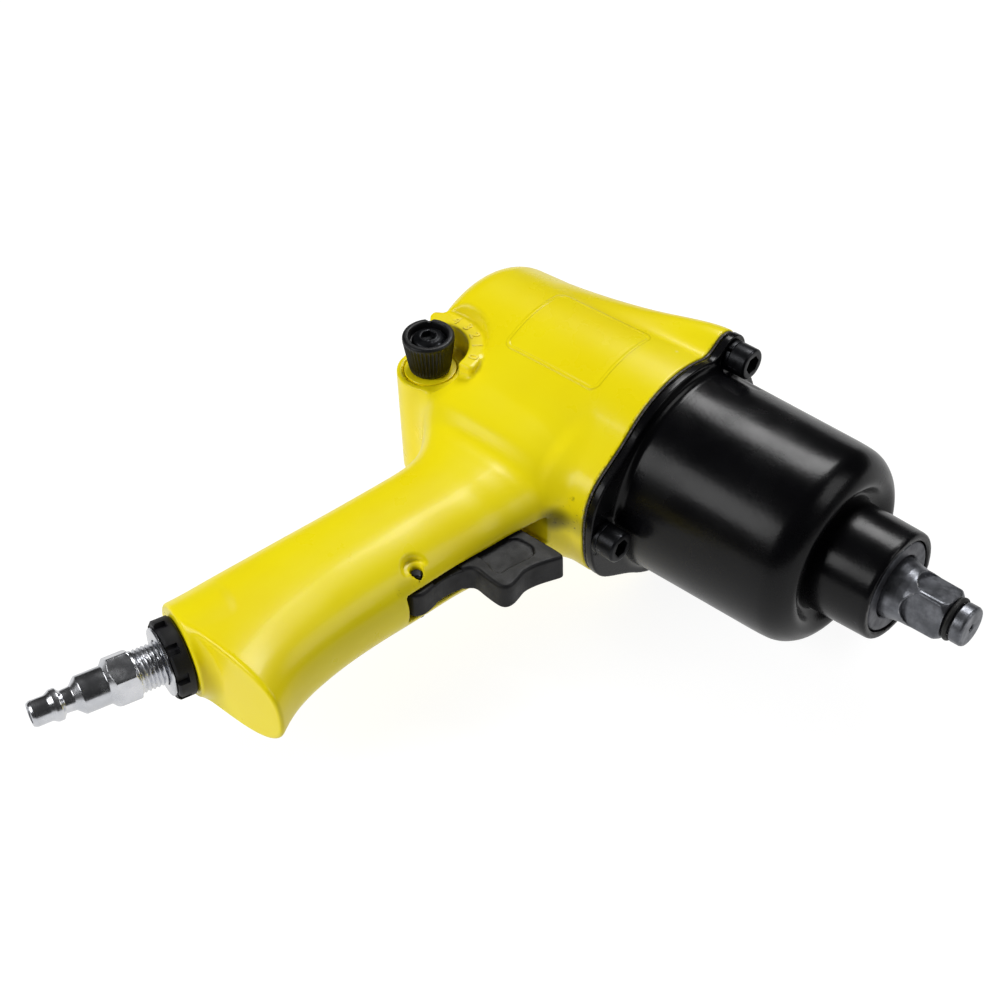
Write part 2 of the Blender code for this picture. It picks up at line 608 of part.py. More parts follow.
def build_regulator(sleeve_look, spool_look, knob_look, screw_look, seal_look):
    profile = [(-13.6, SPOOL_R + FIT), (-13.6, SLEEVE_R), (15.8, SLEEVE_R), (15.8, 8.2),
               (BOSS_Z[1], 8.2), (BOSS_Z[1], SPOOL_R + FIT)]
    sleeve = to_object("valve_sleeve", turned(profile, "Z", KNOB_CENTRE, 18), sleeve_look,
                       KNOB_CENTRE)
    cut(sleeve, bar_between((-147.5, -35.4, 0.0), (-152.5, -31.5, 0.0), 2.6))
    for z in (-7.0, 7.0):
        cut(sleeve, bar_between((-154.5, -28.0, z), (-148.0, -25.2, z), 2.2))
    profile = [(-13.2, 0.0), (-13.2, SPOOL_R), (11.6, SPOOL_R), (11.6, 4.2), (13.6, 4.2),
               (13.6, SPOOL_R), (18.4, SPOOL_R), (18.4, 3.4), (26.0, 3.4), (26.0, 1.7),
               (16.0, 1.7), (16.0, 0.0)]
    spool = to_object("regulator_spool", turned(profile, "Z", KNOB_CENTRE, 18), spool_look,
                      KNOB_CENTRE)
    for side in (-1.0, 1.0):
        x, y = KNOB_XY
        cut(spool, box((x + side * 5.2 - 2.6, y - 7.0, -10.0),
                       (x + side * 5.2 + 2.6, y + 7.0, 9.0)))
    to_object("spool_o_ring", ring_seal(12.6, 4.95, 0.5, "Z", KNOB_CENTRE), seal_look,
              KNOB_CENTRE)
    bottom, top = KNOB_Z
    foot_r, rim_r = KNOB_R
    floor = top - 2.6
    profile = [(bottom, 3.7), (bottom, foot_r - 0.3), (bottom + 1.2, foot_r),
               (top - 1.4, rim_r), (top - 0.5, rim_r - 0.1), (top, rim_r - 0.7),
               (top, 6.3), (top - 0.6, 6.0), (floor, 5.9), (floor, 2.1), (26.3, 2.1),
               (26.3, 3.7)]
    knob = to_object("regulator_knob", turned(profile, "Z", KNOB_CENTRE, 24), knob_look,
                     KNOB_CENTRE)
    turn = math.radians(130.0)
    notch_at = (KNOB_XY[0] + 7.6 * math.cos(turn), KNOB_XY[1] + 7.6 * math.sin(turn), 0.0)
    cut(knob, rod(top - 1.3, top + 1.0, 1.5, "Z", notch_at, 10))
    seat = floor + 0.1
    profile = [(16.4, 0.0), (16.4, 1.4), (seat, 1.4), (seat, 5.3), (seat + 0.5, 5.25),
               (seat + 1.4, 4.5), (seat + 2.0, 3.3), (seat + 2.2, 2.9), (seat + 2.2, 0.0)]
    screw = to_object("knob_screw", turned(profile, "Z", KNOB_CENTRE, 14), screw_look,
                      KNOB_CENTRE)
    socket = [(KNOB_XY[0] + a, KNOB_XY[1] + b) for a, b in polygon(2.3, 6)]
    cut(screw, prism(socket, seat + 0.5, seat + 3.0))


def build_trigger(trigger_look, steel, brass, seal_look):
    side_view = [
        (-79.4, -57.0), (-80.3, -59.0), (-82.0, -62.4), (-83.3, -65.6), (-83.8, -68.4),
        (-83.4, -71.4), (-83.0, -74.4), (-83.5, -76.2), (-85.0, -77.4), (-87.5, -77.6),
        (-91.5, -77.3), (-95.0, -76.9), (-97.0, -77.7), (-98.7, -80.5), (-100.0, -85.0),
        (-100.2, -88.6), (-99.9, -92.0), (-100.2, -94.6), (-101.8, -96.6),
        (-104.4, -97.0), (-106.6, -95.4), (-107.6, -92.0), (-107.2, -86.0),
        (-104.6, -77.0), (-102.6, -70.0), (-102.4, -57.5), (-101.2, -55.8),
        (-97.5, -55.6), (-88.0, -55.5), (-81.5, -55.5), (-79.8, -56.0),
    ]
    trigger = to_object("trigger", prism(side_view, -TRIGGER_HALF_W, TRIGGER_HALF_W),
                        trigger_look, PIN_CENTRE, smooth=40.0)
    cut(trigger, rod(-10.0, 10.0, TRIGGER_PIN_R + FIT, "Z", PIN_CENTRE, 14))
    pin = rod(-TRIGGER_PIN_HALF, TRIGGER_PIN_HALF, TRIGGER_PIN_R, "Z", PIN_CENTRE, 14)
    to_object("trigger_pin", pin, steel, PIN_CENTRE)

    rear, front = GUIDE_X
    neck = GUIDE_R - 0.8
    profile = [(rear, SEAT_R), (rear, GUIDE_R), (-118.4, GUIDE_R), (-118.4, neck),
               (-114.6, neck), (-114.6, GUIDE_R), (-113.0, GUIDE_R), (-113.0, neck),
               (-111.2, neck), (-111.2, GUIDE_R), (front, GUIDE_R),
               (front, STEM_R + FIT), (-114.0, STEM_R + FIT), (-114.0, SEAT_R)]
    guide = to_object("throttle_guide", turned(profile, "X", STEM_CENTRE, 16), brass,
                      STEM_CENTRE)
    cut(guide, rod(STEM_Y - 8.0, STEM_Y + 8.0, 1.5, "Y", (-116.5, 0.0, 0.0), 10))
    to_object("throttle_o_ring", ring_seal(-112.1, neck + 0.5, 0.42, "X", STEM_CENTRE),
              seal_look, STEM_CENTRE)
    head = rear - 0.3
    profile = [(head - 4.4, 0.0), (head - 4.4, 2.3), (head - 2.4, 2.3), (head - 2.4, POPPET_R),
               (head, POPPET_R), (head + 0.2, SEAT_R - FIT), (head + 0.2, STEM_R),
               (STEM_TIP_X - 0.5, STEM_R), (STEM_TIP_X, 1.3), (STEM_TIP_X, 0.0)]
    to_object("throttle_stem", turned(profile, "X", STEM_CENTRE, 14), steel, STEM_CENTRE)
    to_object("throttle_spring", coil(THROTTLE_END_X + 0.9, head - 3.3, SPRING_R, 0.5, 4.0),
              steel, STEM_CENTRE)


def coil(start, end, radius, wire_r, turns, sides=5, per_turn=9):
    """Helical spring on the throttle axis."""
    rings = []
    total = int(turns * per_turn)
    pitch = (end - start) / turns
    lead = math.atan2(pitch, 2.0 * math.pi * radius)
    for i in range(total + 1):
        turn = 2.0 * math.pi * i / per_turn
        x = start + pitch * i / per_turn
        c, s = math.cos(turn), math.sin(turn)
        ring = []
        for k in range(sides):
            around = 2.0 * math.pi * k / sides
            out = wire_r * math.cos(around)
            along = wire_r * math.sin(around)
            ring.append((x + along * math.cos(lead),
                         STEM_Y + (radius + out) * c + along * math.sin(lead) * s,
                         (radius + out) * s - along * math.sin(lead) * c))
        rings.append(ring)
    return loft(rings)


def build_inlet(ring_look, nipple_look, bush_look, screen_look, seal_look):
    # A channel in its rear face gathers the exhaust air, which leaves by the notches.
    end = DEFLECTOR_END
    profile = [(0.3, 8.5), (0.3, 9.0), (3.0, 9.0), (3.0, 11.0), (0.3, 11.0), (0.3, 11.5),
               (0.8, DEFLECTOR_R), (end - 0.6, DEFLECTOR_R), (end, DEFLECTOR_R - 0.6),
               (end, 8.5)]
    ring = to_object("exhaust_deflector", turned(profile, "INLET", INLET_CENTRE, 24),
                     ring_look, INLET_CENTRE)
    for i in range(8):
        turn = Matrix.Rotation(math.radians(45.0 * i + 12.0), 4, "X")
        notch = box((2.4, DEFLECTOR_R - 1.6, -1.5), (10.0, DEFLECTOR_R + 2.0, 1.5))
        bmesh.ops.transform(notch, verts=notch.verts, matrix=turn)
        bmesh.ops.transform(notch, verts=notch.verts, matrix=AXIS_TURN["INLET"])
        bmesh.ops.translate(notch, verts=notch.verts, vec=INLET_CENTRE)
        cut(ring, notch)

    flange = DEFLECTOR_END + 0.2
    profile = [(-24.0, 3.2), (-24.0, INLET_BUSH_R), (-21.4, INLET_BUSH_R), (-21.4, 7.0),
               (-19.2, 7.0), (-19.2, INLET_BUSH_R), (flange, INLET_BUSH_R),
               (flange, INLET_COLLAR_R), (flange + 0.8, INLET_COLLAR_R),
               (flange + 0.8, THREAD_R + FIT), (-9.0, THREAD_R + FIT), (-9.0, 5.0),
               (-22.6, 5.0), (-22.6, 3.2)]
    to_object("inlet_bushing", turned(profile, "INLET", INLET_CENTRE, 18), bush_look,
              INLET_CENTRE)
    to_object("inlet_o_ring", ring_seal(-20.3, 7.7, 0.5, "INLET", INLET_CENTRE),
              seal_look, INLET_CENTRE)
    profile = [(-22.2, 0.0), (-22.2, 3.6), (-10.4, 4.6), (-9.8, 4.6), (-9.8, 4.1),
               (-21.7, 3.1), (-21.7, 0.0)]
    to_object("inlet_screen", turned(profile, "INLET", INLET_CENTRE, 14), screen_look,
              INLET_CENTRE)

    profile = [
        (-8.0, 2.6), (-8.0, 5.7), (-7.0, THREAD_R), (15.0, THREAD_R), (15.0, 7.9),
        (22.0, 7.9), (22.8, 6.4), (23.4, 5.7), (31.0, 5.7), (33.2, 3.6), (36.2, 3.4),
        (37.2, 4.8), (38.8, 4.8), (40.4, 3.9), (44.8, 3.9), (45.8, 3.4), (45.8, 2.6),
    ]
    nipple = to_object("air_nipple", turned(profile, "INLET", INLET_CENTRE, 20),
                       nipple_look, INLET_CENTRE)
    for i in range(6):
        turn = Matrix.Rotation(math.radians(60.0 * i + 10.0), 4, "X")
        flat = box((14.5, 7.0, -8.0), (23.2, 12.0, 8.0))
        bmesh.ops.transform(flat, verts=flat.verts, matrix=turn)
        bmesh.ops.transform(flat, verts=flat.verts, matrix=AXIS_TURN["INLET"])
        bmesh.ops.translate(flat, verts=flat.verts, vec=INLET_CENTRE)
        cut(nipple, flat)


def main():
    clear_scene()
    yellow = ((0.91, 0.74, 0.02), 0.28, 0.0)
    black_paint = ((0.012, 0.012, 0.014), 0.22, 0.0)
    black_oxide = ((0.03, 0.03, 0.034), 0.38, 0.8)
    black_plastic = ((0.018, 0.018, 0.02), 0.5, 0.0)
    rubber = ((0.01, 0.01, 0.01), 0.7, 0.0)
    phosphate = ((0.2, 0.2, 0.2), 0.38, 1.0)
    steel = ((0.45, 0.45, 0.46), 0.3, 1.0)
    iron = ((0.33, 0.33, 0.34), 0.42, 1.0)
    nickel = ((0.78, 0.77, 0.76), 0.22, 1.0)
    brass = ((0.7, 0.5, 0.2), 0.32, 1.0)
    bronze = ((0.38, 0.36, 0.34), 0.42, 1.0)
    fibre = ((0.25, 0.16, 0.07), 0.65, 0.0)
    paper = ((0.1, 0.1, 0.09), 0.8, 0.0)
    mesh_steel = ((0.6, 0.6, 0.6), 0.4, 1.0)

    build_housing(yellow)
    build_case(black_paint)
    build_gasket(paper)
    build_screws(black_oxide)
    to_object("anvil_bushing", tube(-30.7, -0.3, BUSH_R, SHANK_R + FIT), bronze)
    build_anvil(phosphate)
    to_object("friction_ring", ring_seal(19.5, 6.15, 0.85), rubber)
    build_cage(iron)
    build_hammer_rings(steel)
    for name, y in (("hammer_pin_upper", PIN_Y), ("hammer_pin_lower", -PIN_Y)):
        pin = rod(CAGE_X[0] + 0.5, CAGE_X[1] - 0.5, PIN_R, "X", (0.0, y, 0.0), 16)
        to_object(name, pin, steel, (0.0, y, 0.0))
    build_motor(steel, iron, iron, fibre, steel)
    build_regulator(yellow, steel, black_plastic, black_oxide, rubber)
    build_trigger(black_plastic, steel, brass, rubber)
    build_inlet(black_plastic, nickel, nickel, mesh_steel, rubber)


main()
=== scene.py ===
"""Air impact wrench: the fine surfaces and finishes shown over the CAD frame.

Lengths are in millimetres in the part's own frame: origin at the centre of the rear face,
+X the drive direction, +Y the tool's top, +Z the side with the regulator knob.
"""

import json
import math

import bmesh
import bpy
import numpy as np
from mathutils import Matrix, Vector


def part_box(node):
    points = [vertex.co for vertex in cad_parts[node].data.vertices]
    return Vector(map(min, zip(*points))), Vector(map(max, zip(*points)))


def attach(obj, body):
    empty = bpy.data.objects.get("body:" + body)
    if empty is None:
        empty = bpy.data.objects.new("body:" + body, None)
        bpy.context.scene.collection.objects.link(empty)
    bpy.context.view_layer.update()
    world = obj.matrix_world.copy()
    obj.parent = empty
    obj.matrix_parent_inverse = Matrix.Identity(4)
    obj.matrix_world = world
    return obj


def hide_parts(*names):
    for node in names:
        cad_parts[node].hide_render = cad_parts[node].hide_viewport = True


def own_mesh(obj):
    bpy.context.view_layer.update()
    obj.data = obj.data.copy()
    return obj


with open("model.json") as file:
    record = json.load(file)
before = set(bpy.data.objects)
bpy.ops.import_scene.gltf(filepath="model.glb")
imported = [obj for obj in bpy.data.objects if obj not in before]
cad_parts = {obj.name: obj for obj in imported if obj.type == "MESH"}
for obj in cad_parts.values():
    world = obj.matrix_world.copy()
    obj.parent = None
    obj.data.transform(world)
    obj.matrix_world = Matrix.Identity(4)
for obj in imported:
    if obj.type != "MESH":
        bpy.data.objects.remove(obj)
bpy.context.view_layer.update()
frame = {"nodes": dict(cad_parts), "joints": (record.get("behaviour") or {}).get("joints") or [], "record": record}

MM = 0.001


# ------------------------ places from the frame

def span(node):
    """Lowest and highest corner of a CAD node."""
    low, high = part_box(node)
    return np.array(low) / MM, np.array(high) / MM


def joint_place(name):
    joint = next(j for j in frame["joints"] if j["name"] == name)
    return np.array(joint["pos_m"]) / MM


HOUSING_LOW, HOUSING_HIGH = span("motor_housing")
CASE_LOW, CASE_HIGH = span("hammer_case")
ANVIL_LOW, ANVIL_HIGH = span("anvil")
FACE_X = HOUSING_HIGH[0]                     # housing's front joint face
CASE_X = CASE_LOW[0]                         # case's rear face
NOSE_X = CASE_HIGH[0]                        # case's nose face
FLANGE_R = HOUSING_HIGH[1]
SCREWS = [np.mean(span("case_screw_%d" % n), axis=0)[1:] for n in (1, 2, 3)]
KNOB_X, KNOB_Y = joint_place("regulator_turn")[:2]
PIN_X, PIN_Y = joint_place("trigger_pull")[:2]

PLUG = next(m for m in frame["record"]["mounts"] if m["name"] == "plug_end")
NIPPLE_END = 45.8                            # its open end, measured from the inlet's centre
INLET_AXIS = np.array([PLUG["axis"][0], PLUG["axis"][1], 0.0])
INLET = np.array([PLUG["pos_m"][0], PLUG["pos_m"][1], 0.0]) / MM - INLET_AXIS * NIPPLE_END

FLANGE_T = 2.8
EAR_R = 6.5
SCREW_R = 3.0
FIT = 0.3
AXES = {
    "X": ((1.0, 0.0, 0.0), (0.0, 1.0, 0.0), (0.0, 0.0, 1.0)),
    "Z": ((0.0, 0.0, 1.0), (1.0, 0.0, 0.0), (0.0, 1.0, 0.0)),
    "INLET": (INLET_AXIS, (-INLET_AXIS[1], INLET_AXIS[0], 0.0), (0.0, 0.0, 1.0)),
}


# ------------------------ signed-distance shapes

def join(a, b, r=0.2):
    """Union with a fillet of radius r."""
    return np.maximum(r, np.minimum(a, b)) - np.hypot(np.maximum(r - a, 0), np.maximum(r - b, 0))


def meet(a, b, r=0.2):
    """Intersection whose edge is rounded with radius r."""
    return np.minimum(-r, np.maximum(a, b)) + np.hypot(np.maximum(r + a, 0), np.maximum(r + b, 0))


def carve(a, b, r=0.2):
    """a with b cut away, its edge rounded with radius r."""
    return meet(a, -b, r)


def round_rod(p, centre, axis, radius):
    """Endless rod along one of AXES."""
    _, u, v = (np.array(c) for c in AXES[axis])
    q = p - np.array(centre)
    return np.hypot(q @ u, q @ v) - radius


def outline_field(x, y, points):
    """Distance to a closed outline in a plane, negative inside."""
    points = np.array(points, float)
    best = np.full(x.shape, np.inf)
    sign = np.ones(x.shape)
    for (ax, ay), (bx, by) in zip(points, np.roll(points, -1, axis=0)):
        ex, ey = bx - ax, by - ay
        wx, wy = x - ax, y - ay
        share = np.clip((wx * ex + wy * ey) / (ex * ex + ey * ey), 0.0, 1.0)
        best = np.minimum(best, (wx - share * ex) ** 2 + (wy - share * ey) ** 2)
        above, below = y >= ay, y < by
        left = ex * wy > ey * wx
        flip = (above & below & left) | (~above & ~below & ~left)
        sign = np.where(flip, -sign, sign)
    return sign * np.sqrt(best)


def smooth_curve(points, per_span=6, closed=False):
    """Points along a Catmull-Rom curve."""
    points = np.array(points, float)
    count = len(points)
    result = []
    for i in range(count if closed else count - 1):
        ids = [i - 1, i, i + 1, i + 2]
        ids = [k % count for k in ids] if closed else [min(max(k, 0), count - 1) for k in ids]
        a, b, c, d = points[ids]
        for t in np.linspace(0.0, 1.0, per_span, endpoint=False):
            result.append(0.5 * (2 * b + (c - a) * t + (2 * a - 5 * b + 4 * c - d) * t ** 2
                                 + (3 * b - a - 3 * c + d) * t ** 3))
    if not closed:
        result.append(points[-1])
    return np.array(result)


def mesh_object(name, verts, faces, look, body, nodes):
    mesh = bpy.data.meshes.new(name)
    mesh.from_pydata((np.array(verts) * MM).tolist(), [], faces)
    mesh.validate()
    mesh.materials.append(look)
    obj = bpy.data.objects.new(name, mesh)
    bpy.context.scene.collection.objects.link(obj)
    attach(obj, body)
    if nodes:
        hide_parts(*nodes)
    return obj


BLOCK = 8
PROJECTIONS = 3


def fill_grid(field, low, counts, step):
    """Samples the field on a grid, finely only in blocks that the surface may cross."""
    blocks = counts // BLOCK
    middles = np.stack(np.meshgrid(*[np.arange(n) for n in blocks], indexing="ij"), -1)
    middles = low + (middles.reshape(-1, 3) + 0.5) * BLOCK * step
    coarse = field(middles).reshape(blocks)
    near = np.abs(coarse) < BLOCK * step * 1.5
    grid = np.zeros(counts + 1, np.float32)
    wanted = np.zeros(counts + 1, bool)
    wide_near = near.repeat(BLOCK, 0).repeat(BLOCK, 1).repeat(BLOCK, 2)
    wide = coarse.repeat(BLOCK, 0).repeat(BLOCK, 1).repeat(BLOCK, 2)
    for a in (0, 1):
        for b in (0, 1):
            for c in (0, 1):
                place = tuple(slice(s, s + n) for s, n in zip((a, b, c), counts))
                grid[place] = wide
                wanted[place] |= wide_near
    ids = np.argwhere(wanted)
    values = np.empty(len(ids), np.float32)
    for start in range(0, len(ids), 300000):
        part = slice(start, start + 300000)
        values[part] = field(low + ids[part] * step)
    grid[wanted] = values
    return grid


def slope(field, p, reach):
    """Gradient of the field by central differences."""
    steps = np.eye(3) * reach
    return np.stack([(field(p + s) - field(p - s)) / (2.0 * reach) for s in steps], -1)


def net_mesh(field, low, high, step):
    """Quads on the field's zero surface, and the surface's normals at their corners."""
    low = np.array(low, float) - 2 * step
    counts = (np.ceil((np.array(high) + 2 * step - low) / step / BLOCK).astype(int)) * BLOCK
    grid = fill_grid(field, low, counts, step)
    inside = grid < 0

    def corner(array, offset):
        return array[tuple(slice(o, o + n) for o, n in zip(offset, counts))]

    corners = [(a, b, c) for a in (0, 1) for b in (0, 1) for c in (0, 1)]
    filled = sum(corner(inside, o).astype(np.int8) for o in corners)
    active = (filled > 0) & (filled < 8)
    number = np.full(counts, -1, np.int64)
    number[active] = np.arange(active.sum())
    cells = np.argwhere(active)
    total = np.zeros((len(cells), 3))
    hits = np.zeros(len(cells))
    for axis in range(3):
        along = np.eye(3, dtype=int)[axis]
        for start in [o for o in corners if not o[axis]]:
            first = corner(grid, start)[active].astype(float)
            second = corner(grid, np.array(start) + along)[active].astype(float)
            crossed = (first < 0) != (second < 0)
            share = np.where(crossed, first / np.where(crossed, first - second, 1.0), 0.0)
            total += crossed[:, None] * (np.array(start) + share[:, None] * along)
            hits += crossed
    verts = low + step * (cells + total / hits[:, None])

    faces = []
    for axis in range(3):
        b, c = (axis + 1) % 3, (axis + 2) % 3
        edge_shape = list(counts + 1)
        edge_shape[axis] -= 1
        first = inside[tuple(slice(0, n) for n in edge_shape)]
        moved = [slice(0, n) for n in edge_shape]
        moved[axis] = slice(1, edge_shape[axis] + 1)
        second = inside[tuple(moved)]
        ids = np.argwhere(first != second)
        outward = first[tuple(ids.T)]
        keep = (ids[:, b] > 0) & (ids[:, c] > 0)
        keep &= (ids[:, b] < counts[b]) & (ids[:, c] < counts[c])
        ids, outward = ids[keep], outward[keep]
        quad = []
        for db, dc in ((-1, -1), (0, -1), (0, 0), (-1, 0)):
            cell = ids.copy()
            cell[:, b] += db
            cell[:, c] += dc
            quad.append(number[tuple(cell.T)])
        quad = np.stack(quad, -1)
        quad[~outward] = quad[~outward][:, ::-1]
        faces.append(quad)
    faces = np.concatenate(faces)

    seed = verts.copy()
    for _ in range(PROJECTIONS):
        value = field(verts)
        rise = slope(field, verts, 0.06 * step)
        move = -value[:, None] * rise / np.maximum((rise ** 2).sum(1), 0.2)[:, None]
        verts = verts + move
        drift = verts - seed
        far = np.linalg.norm(drift, axis=1) / (0.8 * step)
        verts = seed + drift / np.maximum(far, 1.0)[:, None]
    normals = slope(field, verts, 0.3 * step)
    normals /= np.maximum(np.linalg.norm(normals, axis=1), 1e-9)[:, None]
    return verts, faces, normals


def solid(name, field, low, high, step, look, body, nodes):
    """Piece made from a signed-distance field."""
    verts, faces, normals = net_mesh(field, low, high, step)
    obj = mesh_object(name, verts, faces.tolist(), look, body, nodes)
    mesh = obj.data
    mesh.shade_smooth()
    if len(mesh.vertices) == len(normals):
        mesh.normals_split_custom_set_from_vertices(normals.tolist())
    return obj


# ------------------------ turned pieces

def soften(profile, radius, closed):
    """Replaces each corner of a profile with a small curve."""
    points = np.array(profile, float)
    count = len(points)
    result = []
    for i in range(count):
        if not closed and i in (0, count - 1):
            result.append(points[i])
            continue
        before, here, after = points[i - 1], points[i], points[(i + 1) % count]
        back, ahead = before - here, after - here
        a, b = np.linalg.norm(back), np.linalg.norm(ahead)
        start = here + back * min(0.45, radius / a)
        end = here + ahead * min(0.45, radius / b)
        for t in (0.0, 0.33, 0.67, 1.0):
            result.append((1 - t) ** 2 * start + 2 * t * (1 - t) * here + t ** 2 * end)
    return np.array(result)


def divide(rows, start, end, spacing):
    """Adds rows to the stretches of a profile that lie between two places along it."""
    result = [rows[0]]
    for a, b in zip(rows[:-1], rows[1:]):
        pieces = 1
        if min(a[0], b[0]) >= start - 0.01 and max(a[0], b[0]) <= end + 0.01:
            pieces = max(1, math.ceil(np.linalg.norm(b - a) / spacing))
        for i in range(1, pieces + 1):
            result.append(a + (b - a) * i / pieces)
    return np.array(result)


def turned(name, profile, axis, centre, look, body, nodes, steps=96, edge=0.25,
           shape=None, fine=None, arc=None):
    """Piece turned about one of AXES. The profile holds (place along the axis, radius).
    shape(along, radius, turn) gives each point its own radius."""
    closed = profile[0][1] > 0.0
    rows = soften(profile, edge, closed)
    if fine:
        rows = divide(rows, *fine)
    start, end = arc or (0.0, 2.0 * math.pi)
    turns = np.linspace(start, end, steps + 1)[:steps + (1 if arc else 0)]
    along = np.repeat(rows[:, :1], len(turns), 1)
    radius = np.repeat(rows[:, 1:], len(turns), 1)
    turn = np.repeat(turns[None, :], len(rows), 0)
    if shape:
        radius = shape(along, radius, turn)
    a, u, v = (np.array(c, float) for c in AXES[axis])
    points = (np.array(centre, float) + along[..., None] * a
              + (radius * np.cos(turn))[..., None] * u + (radius * np.sin(turn))[..., None] * v)
    count_r, count_t = along.shape
    faces = []
    for i in range(count_r if closed else count_r - 1):
        i2 = (i + 1) % count_r
        for j in range(count_t if not arc else count_t - 1):
            j2 = (j + 1) % count_t
            faces.append((i * count_t + j, i * count_t + j2, i2 * count_t + j2, i2 * count_t + j))
    if arc:
        faces.append(tuple(i * count_t for i in range(count_r)))
        faces.append(tuple(i * count_t + count_t - 1 for i in reversed(range(count_r))))
    obj = mesh_object(name, points.reshape(-1, 3), faces, look, body, nodes)
    bm = bmesh.new()
    bm.from_mesh(obj.data)
    bmesh.ops.remove_doubles(bm, verts=bm.verts, dist=1e-6)
    bmesh.ops.dissolve_degenerate(bm, edges=bm.edges, dist=1e-7)
    bmesh.ops.recalc_face_normals(bm, faces=bm.faces)
    bm.to_mesh(obj.data)
    bm.free()
    obj.data.shade_smooth()
    obj.data.set_sharp_from_angle(angle=math.radians(32.0))
    return obj


# ------------------------ procedural materials

class Graph:
    """Short ways to add shader nodes to a material."""

    def __init__(self, name):
        self.material = bpy.data.materials.new(name)
        self.material.use_nodes = True
        self.tree = self.material.node_tree
        self.bsdf = self.tree.nodes["Principled BSDF"]
        self.place = self.add("ShaderNodeTexCoord").outputs["Object"]

    def add(self, kind, **values):
        node = self.tree.nodes.new(kind)
        for key, value in values.items():
            setattr(node, key, value)
        return node

    def link(self, source, target):
        self.tree.links.new(source, target)

    def put(self, socket, value):
        if isinstance(value, bpy.types.NodeSocket):
            self.link(value, socket)
        elif value is not None:
            socket.default_value = value

    def calc(self, operation, a, b=0.0, c=0.0):
        node = self.add("ShaderNodeMath", operation=operation)
        for socket, value in zip(node.inputs, (a, b, c)):
            self.put(socket, value)
        return node.outputs[0]

    def noise(self, scale, detail=3.0, rough=0.55):
        node = self.add("ShaderNodeTexNoise")
        self.link(self.place, node.inputs["Vector"])
        node.inputs["Scale"].default_value = scale
        node.inputs["Detail"].default_value = detail
        node.inputs["Roughness"].default_value = rough
        return node.outputs[0]

    def ramp(self, value, low, high, out_low=0.0, out_high=1.0):
        node = self.add("ShaderNodeMapRange", interpolation_type="SMOOTHSTEP")
        for key, item in zip(("Value", "From Min", "From Max", "To Min", "To Max"),
                             (value, low, high, out_low, out_high)):
            self.put(node.inputs[key], item)
        return node.outputs["Result"]

    def mix(self, share, a, b):
        node = self.add("ShaderNodeMix", data_type="RGBA")
        self.put(node.inputs[0], share)
        self.put(node.inputs[6], a)
        self.put(node.inputs[7], b)
        return node.outputs[2]

    def blend(self, share, a, b):
        """Mixes two plain values."""
        return self.calc("ADD", self.calc("MULTIPLY", self.calc("SUBTRACT", b, a), share), a)

    def bump(self, height, distance, strength=1.0, under=None):
        node = self.add("ShaderNodeBump")
        self.put(node.inputs["Height"], height)
        node.inputs["Distance"].default_value = distance
        node.inputs["Strength"].default_value = strength
        if under is not None:
            self.link(under, node.inputs["Normal"])
        return node.outputs["Normal"]

    def near(self, centre, reach):
        """1 at a place, falling to 0 at a distance."""
        gap = self.add("ShaderNodeVectorMath", operation="DISTANCE")
        self.link(self.place, gap.inputs[0])
        gap.inputs[1].default_value = [c * MM for c in centre]
        return self.ramp(gap.outputs["Value"], reach * 0.35 * MM, reach * MM, 1.0, 0.0)


def rgb(red, green, blue):
    """Linear colour from display values of 0 to 255."""
    def linear(c):
        c /= 255.0
        return c / 12.92 if c <= 0.04045 else ((c + 0.055) / 1.055) ** 2.4
    return (linear(red), linear(green), linear(blue), 1.0)


def finish(name, first, second, metal=0.0, rough=(0.3, 0.4), patch=60.0, grain=900.0,
           depth=0.02, wear=None, wear_from=0.53, wear_metal=None, coat=0.0, sheen=0.5, hollow_shade=0.3,
           extra=None):
    """Material with colour patches, worn edges, painted shade in hollows and creases, uneven gloss and grain.
    depth is the grain's height in millimetres."""
    g = Graph(name)
    colour = g.mix(g.ramp(g.noise(patch, 4.0), 0.35, 0.68), first, second)
    roughness = g.ramp(g.noise(patch * 1.7, 5.0), 0.3, 0.72, *rough)
    point = g.add("ShaderNodeNewGeometry").outputs["Pointiness"]
    # painted shade: the colour is darkened in hollows and creases
    if hollow_shade:
        hollow_shade_share = g.ramp(point, 0.40, 0.485, hollow_shade, 0.0)
        colour = g.mix(hollow_shade_share, colour, [c * 0.3 for c in first[:3]] + [1.0])
    metallic = metal
    if wear:
        edge = g.ramp(point, wear_from, wear_from + 0.07)
        worn = g.calc("MULTIPLY", edge, g.ramp(g.noise(patch * 5.0, 6.0), 0.42, 0.62))
        colour = g.mix(worn, colour, wear)
        roughness = g.blend(worn, roughness, 0.35)
        if wear_metal is not None:
            metallic = g.blend(worn, metal, wear_metal)
    normal = g.bump(g.noise(grain, 3.0, 0.6), depth * MM)
    if extra:
        colour, roughness, normal = extra(g, colour, roughness, normal)
    g.put(g.bsdf.inputs["Base Color"], colour)
    g.put(g.bsdf.inputs["Roughness"], roughness)
    g.put(g.bsdf.inputs["Metallic"], metallic)
    g.bsdf.inputs["Coat Weight"].default_value = coat
    g.bsdf.inputs["Specular IOR Level"].default_value = sheen
    g.bsdf.inputs["Coat Roughness"].default_value = 0.12
    g.link(normal, g.bsdf.inputs["Normal"])
    return g.material


BADGE = ((48.0, -4.0), (18.0, 13.5), 2.5)       # centre, half sizes and corner of the badge
# Soot speckles, and painted shade inside the trigger slot's upper end (the two more even marks): place, reach,
# strength and how even it is
SOOT_AND_SHADE_MARKS = (((76.0, -47.6, 4.5), 6.5, 0.95, 0.8), ((81.5, -47.2, 4.5), 7.5, 0.85, 0.5),
         ((80.5, -46.0, 8.5), 8.5, 0.85, 0.06), ((63.0, -98.0, 8.0), 4.0, 0.5, 0.2))


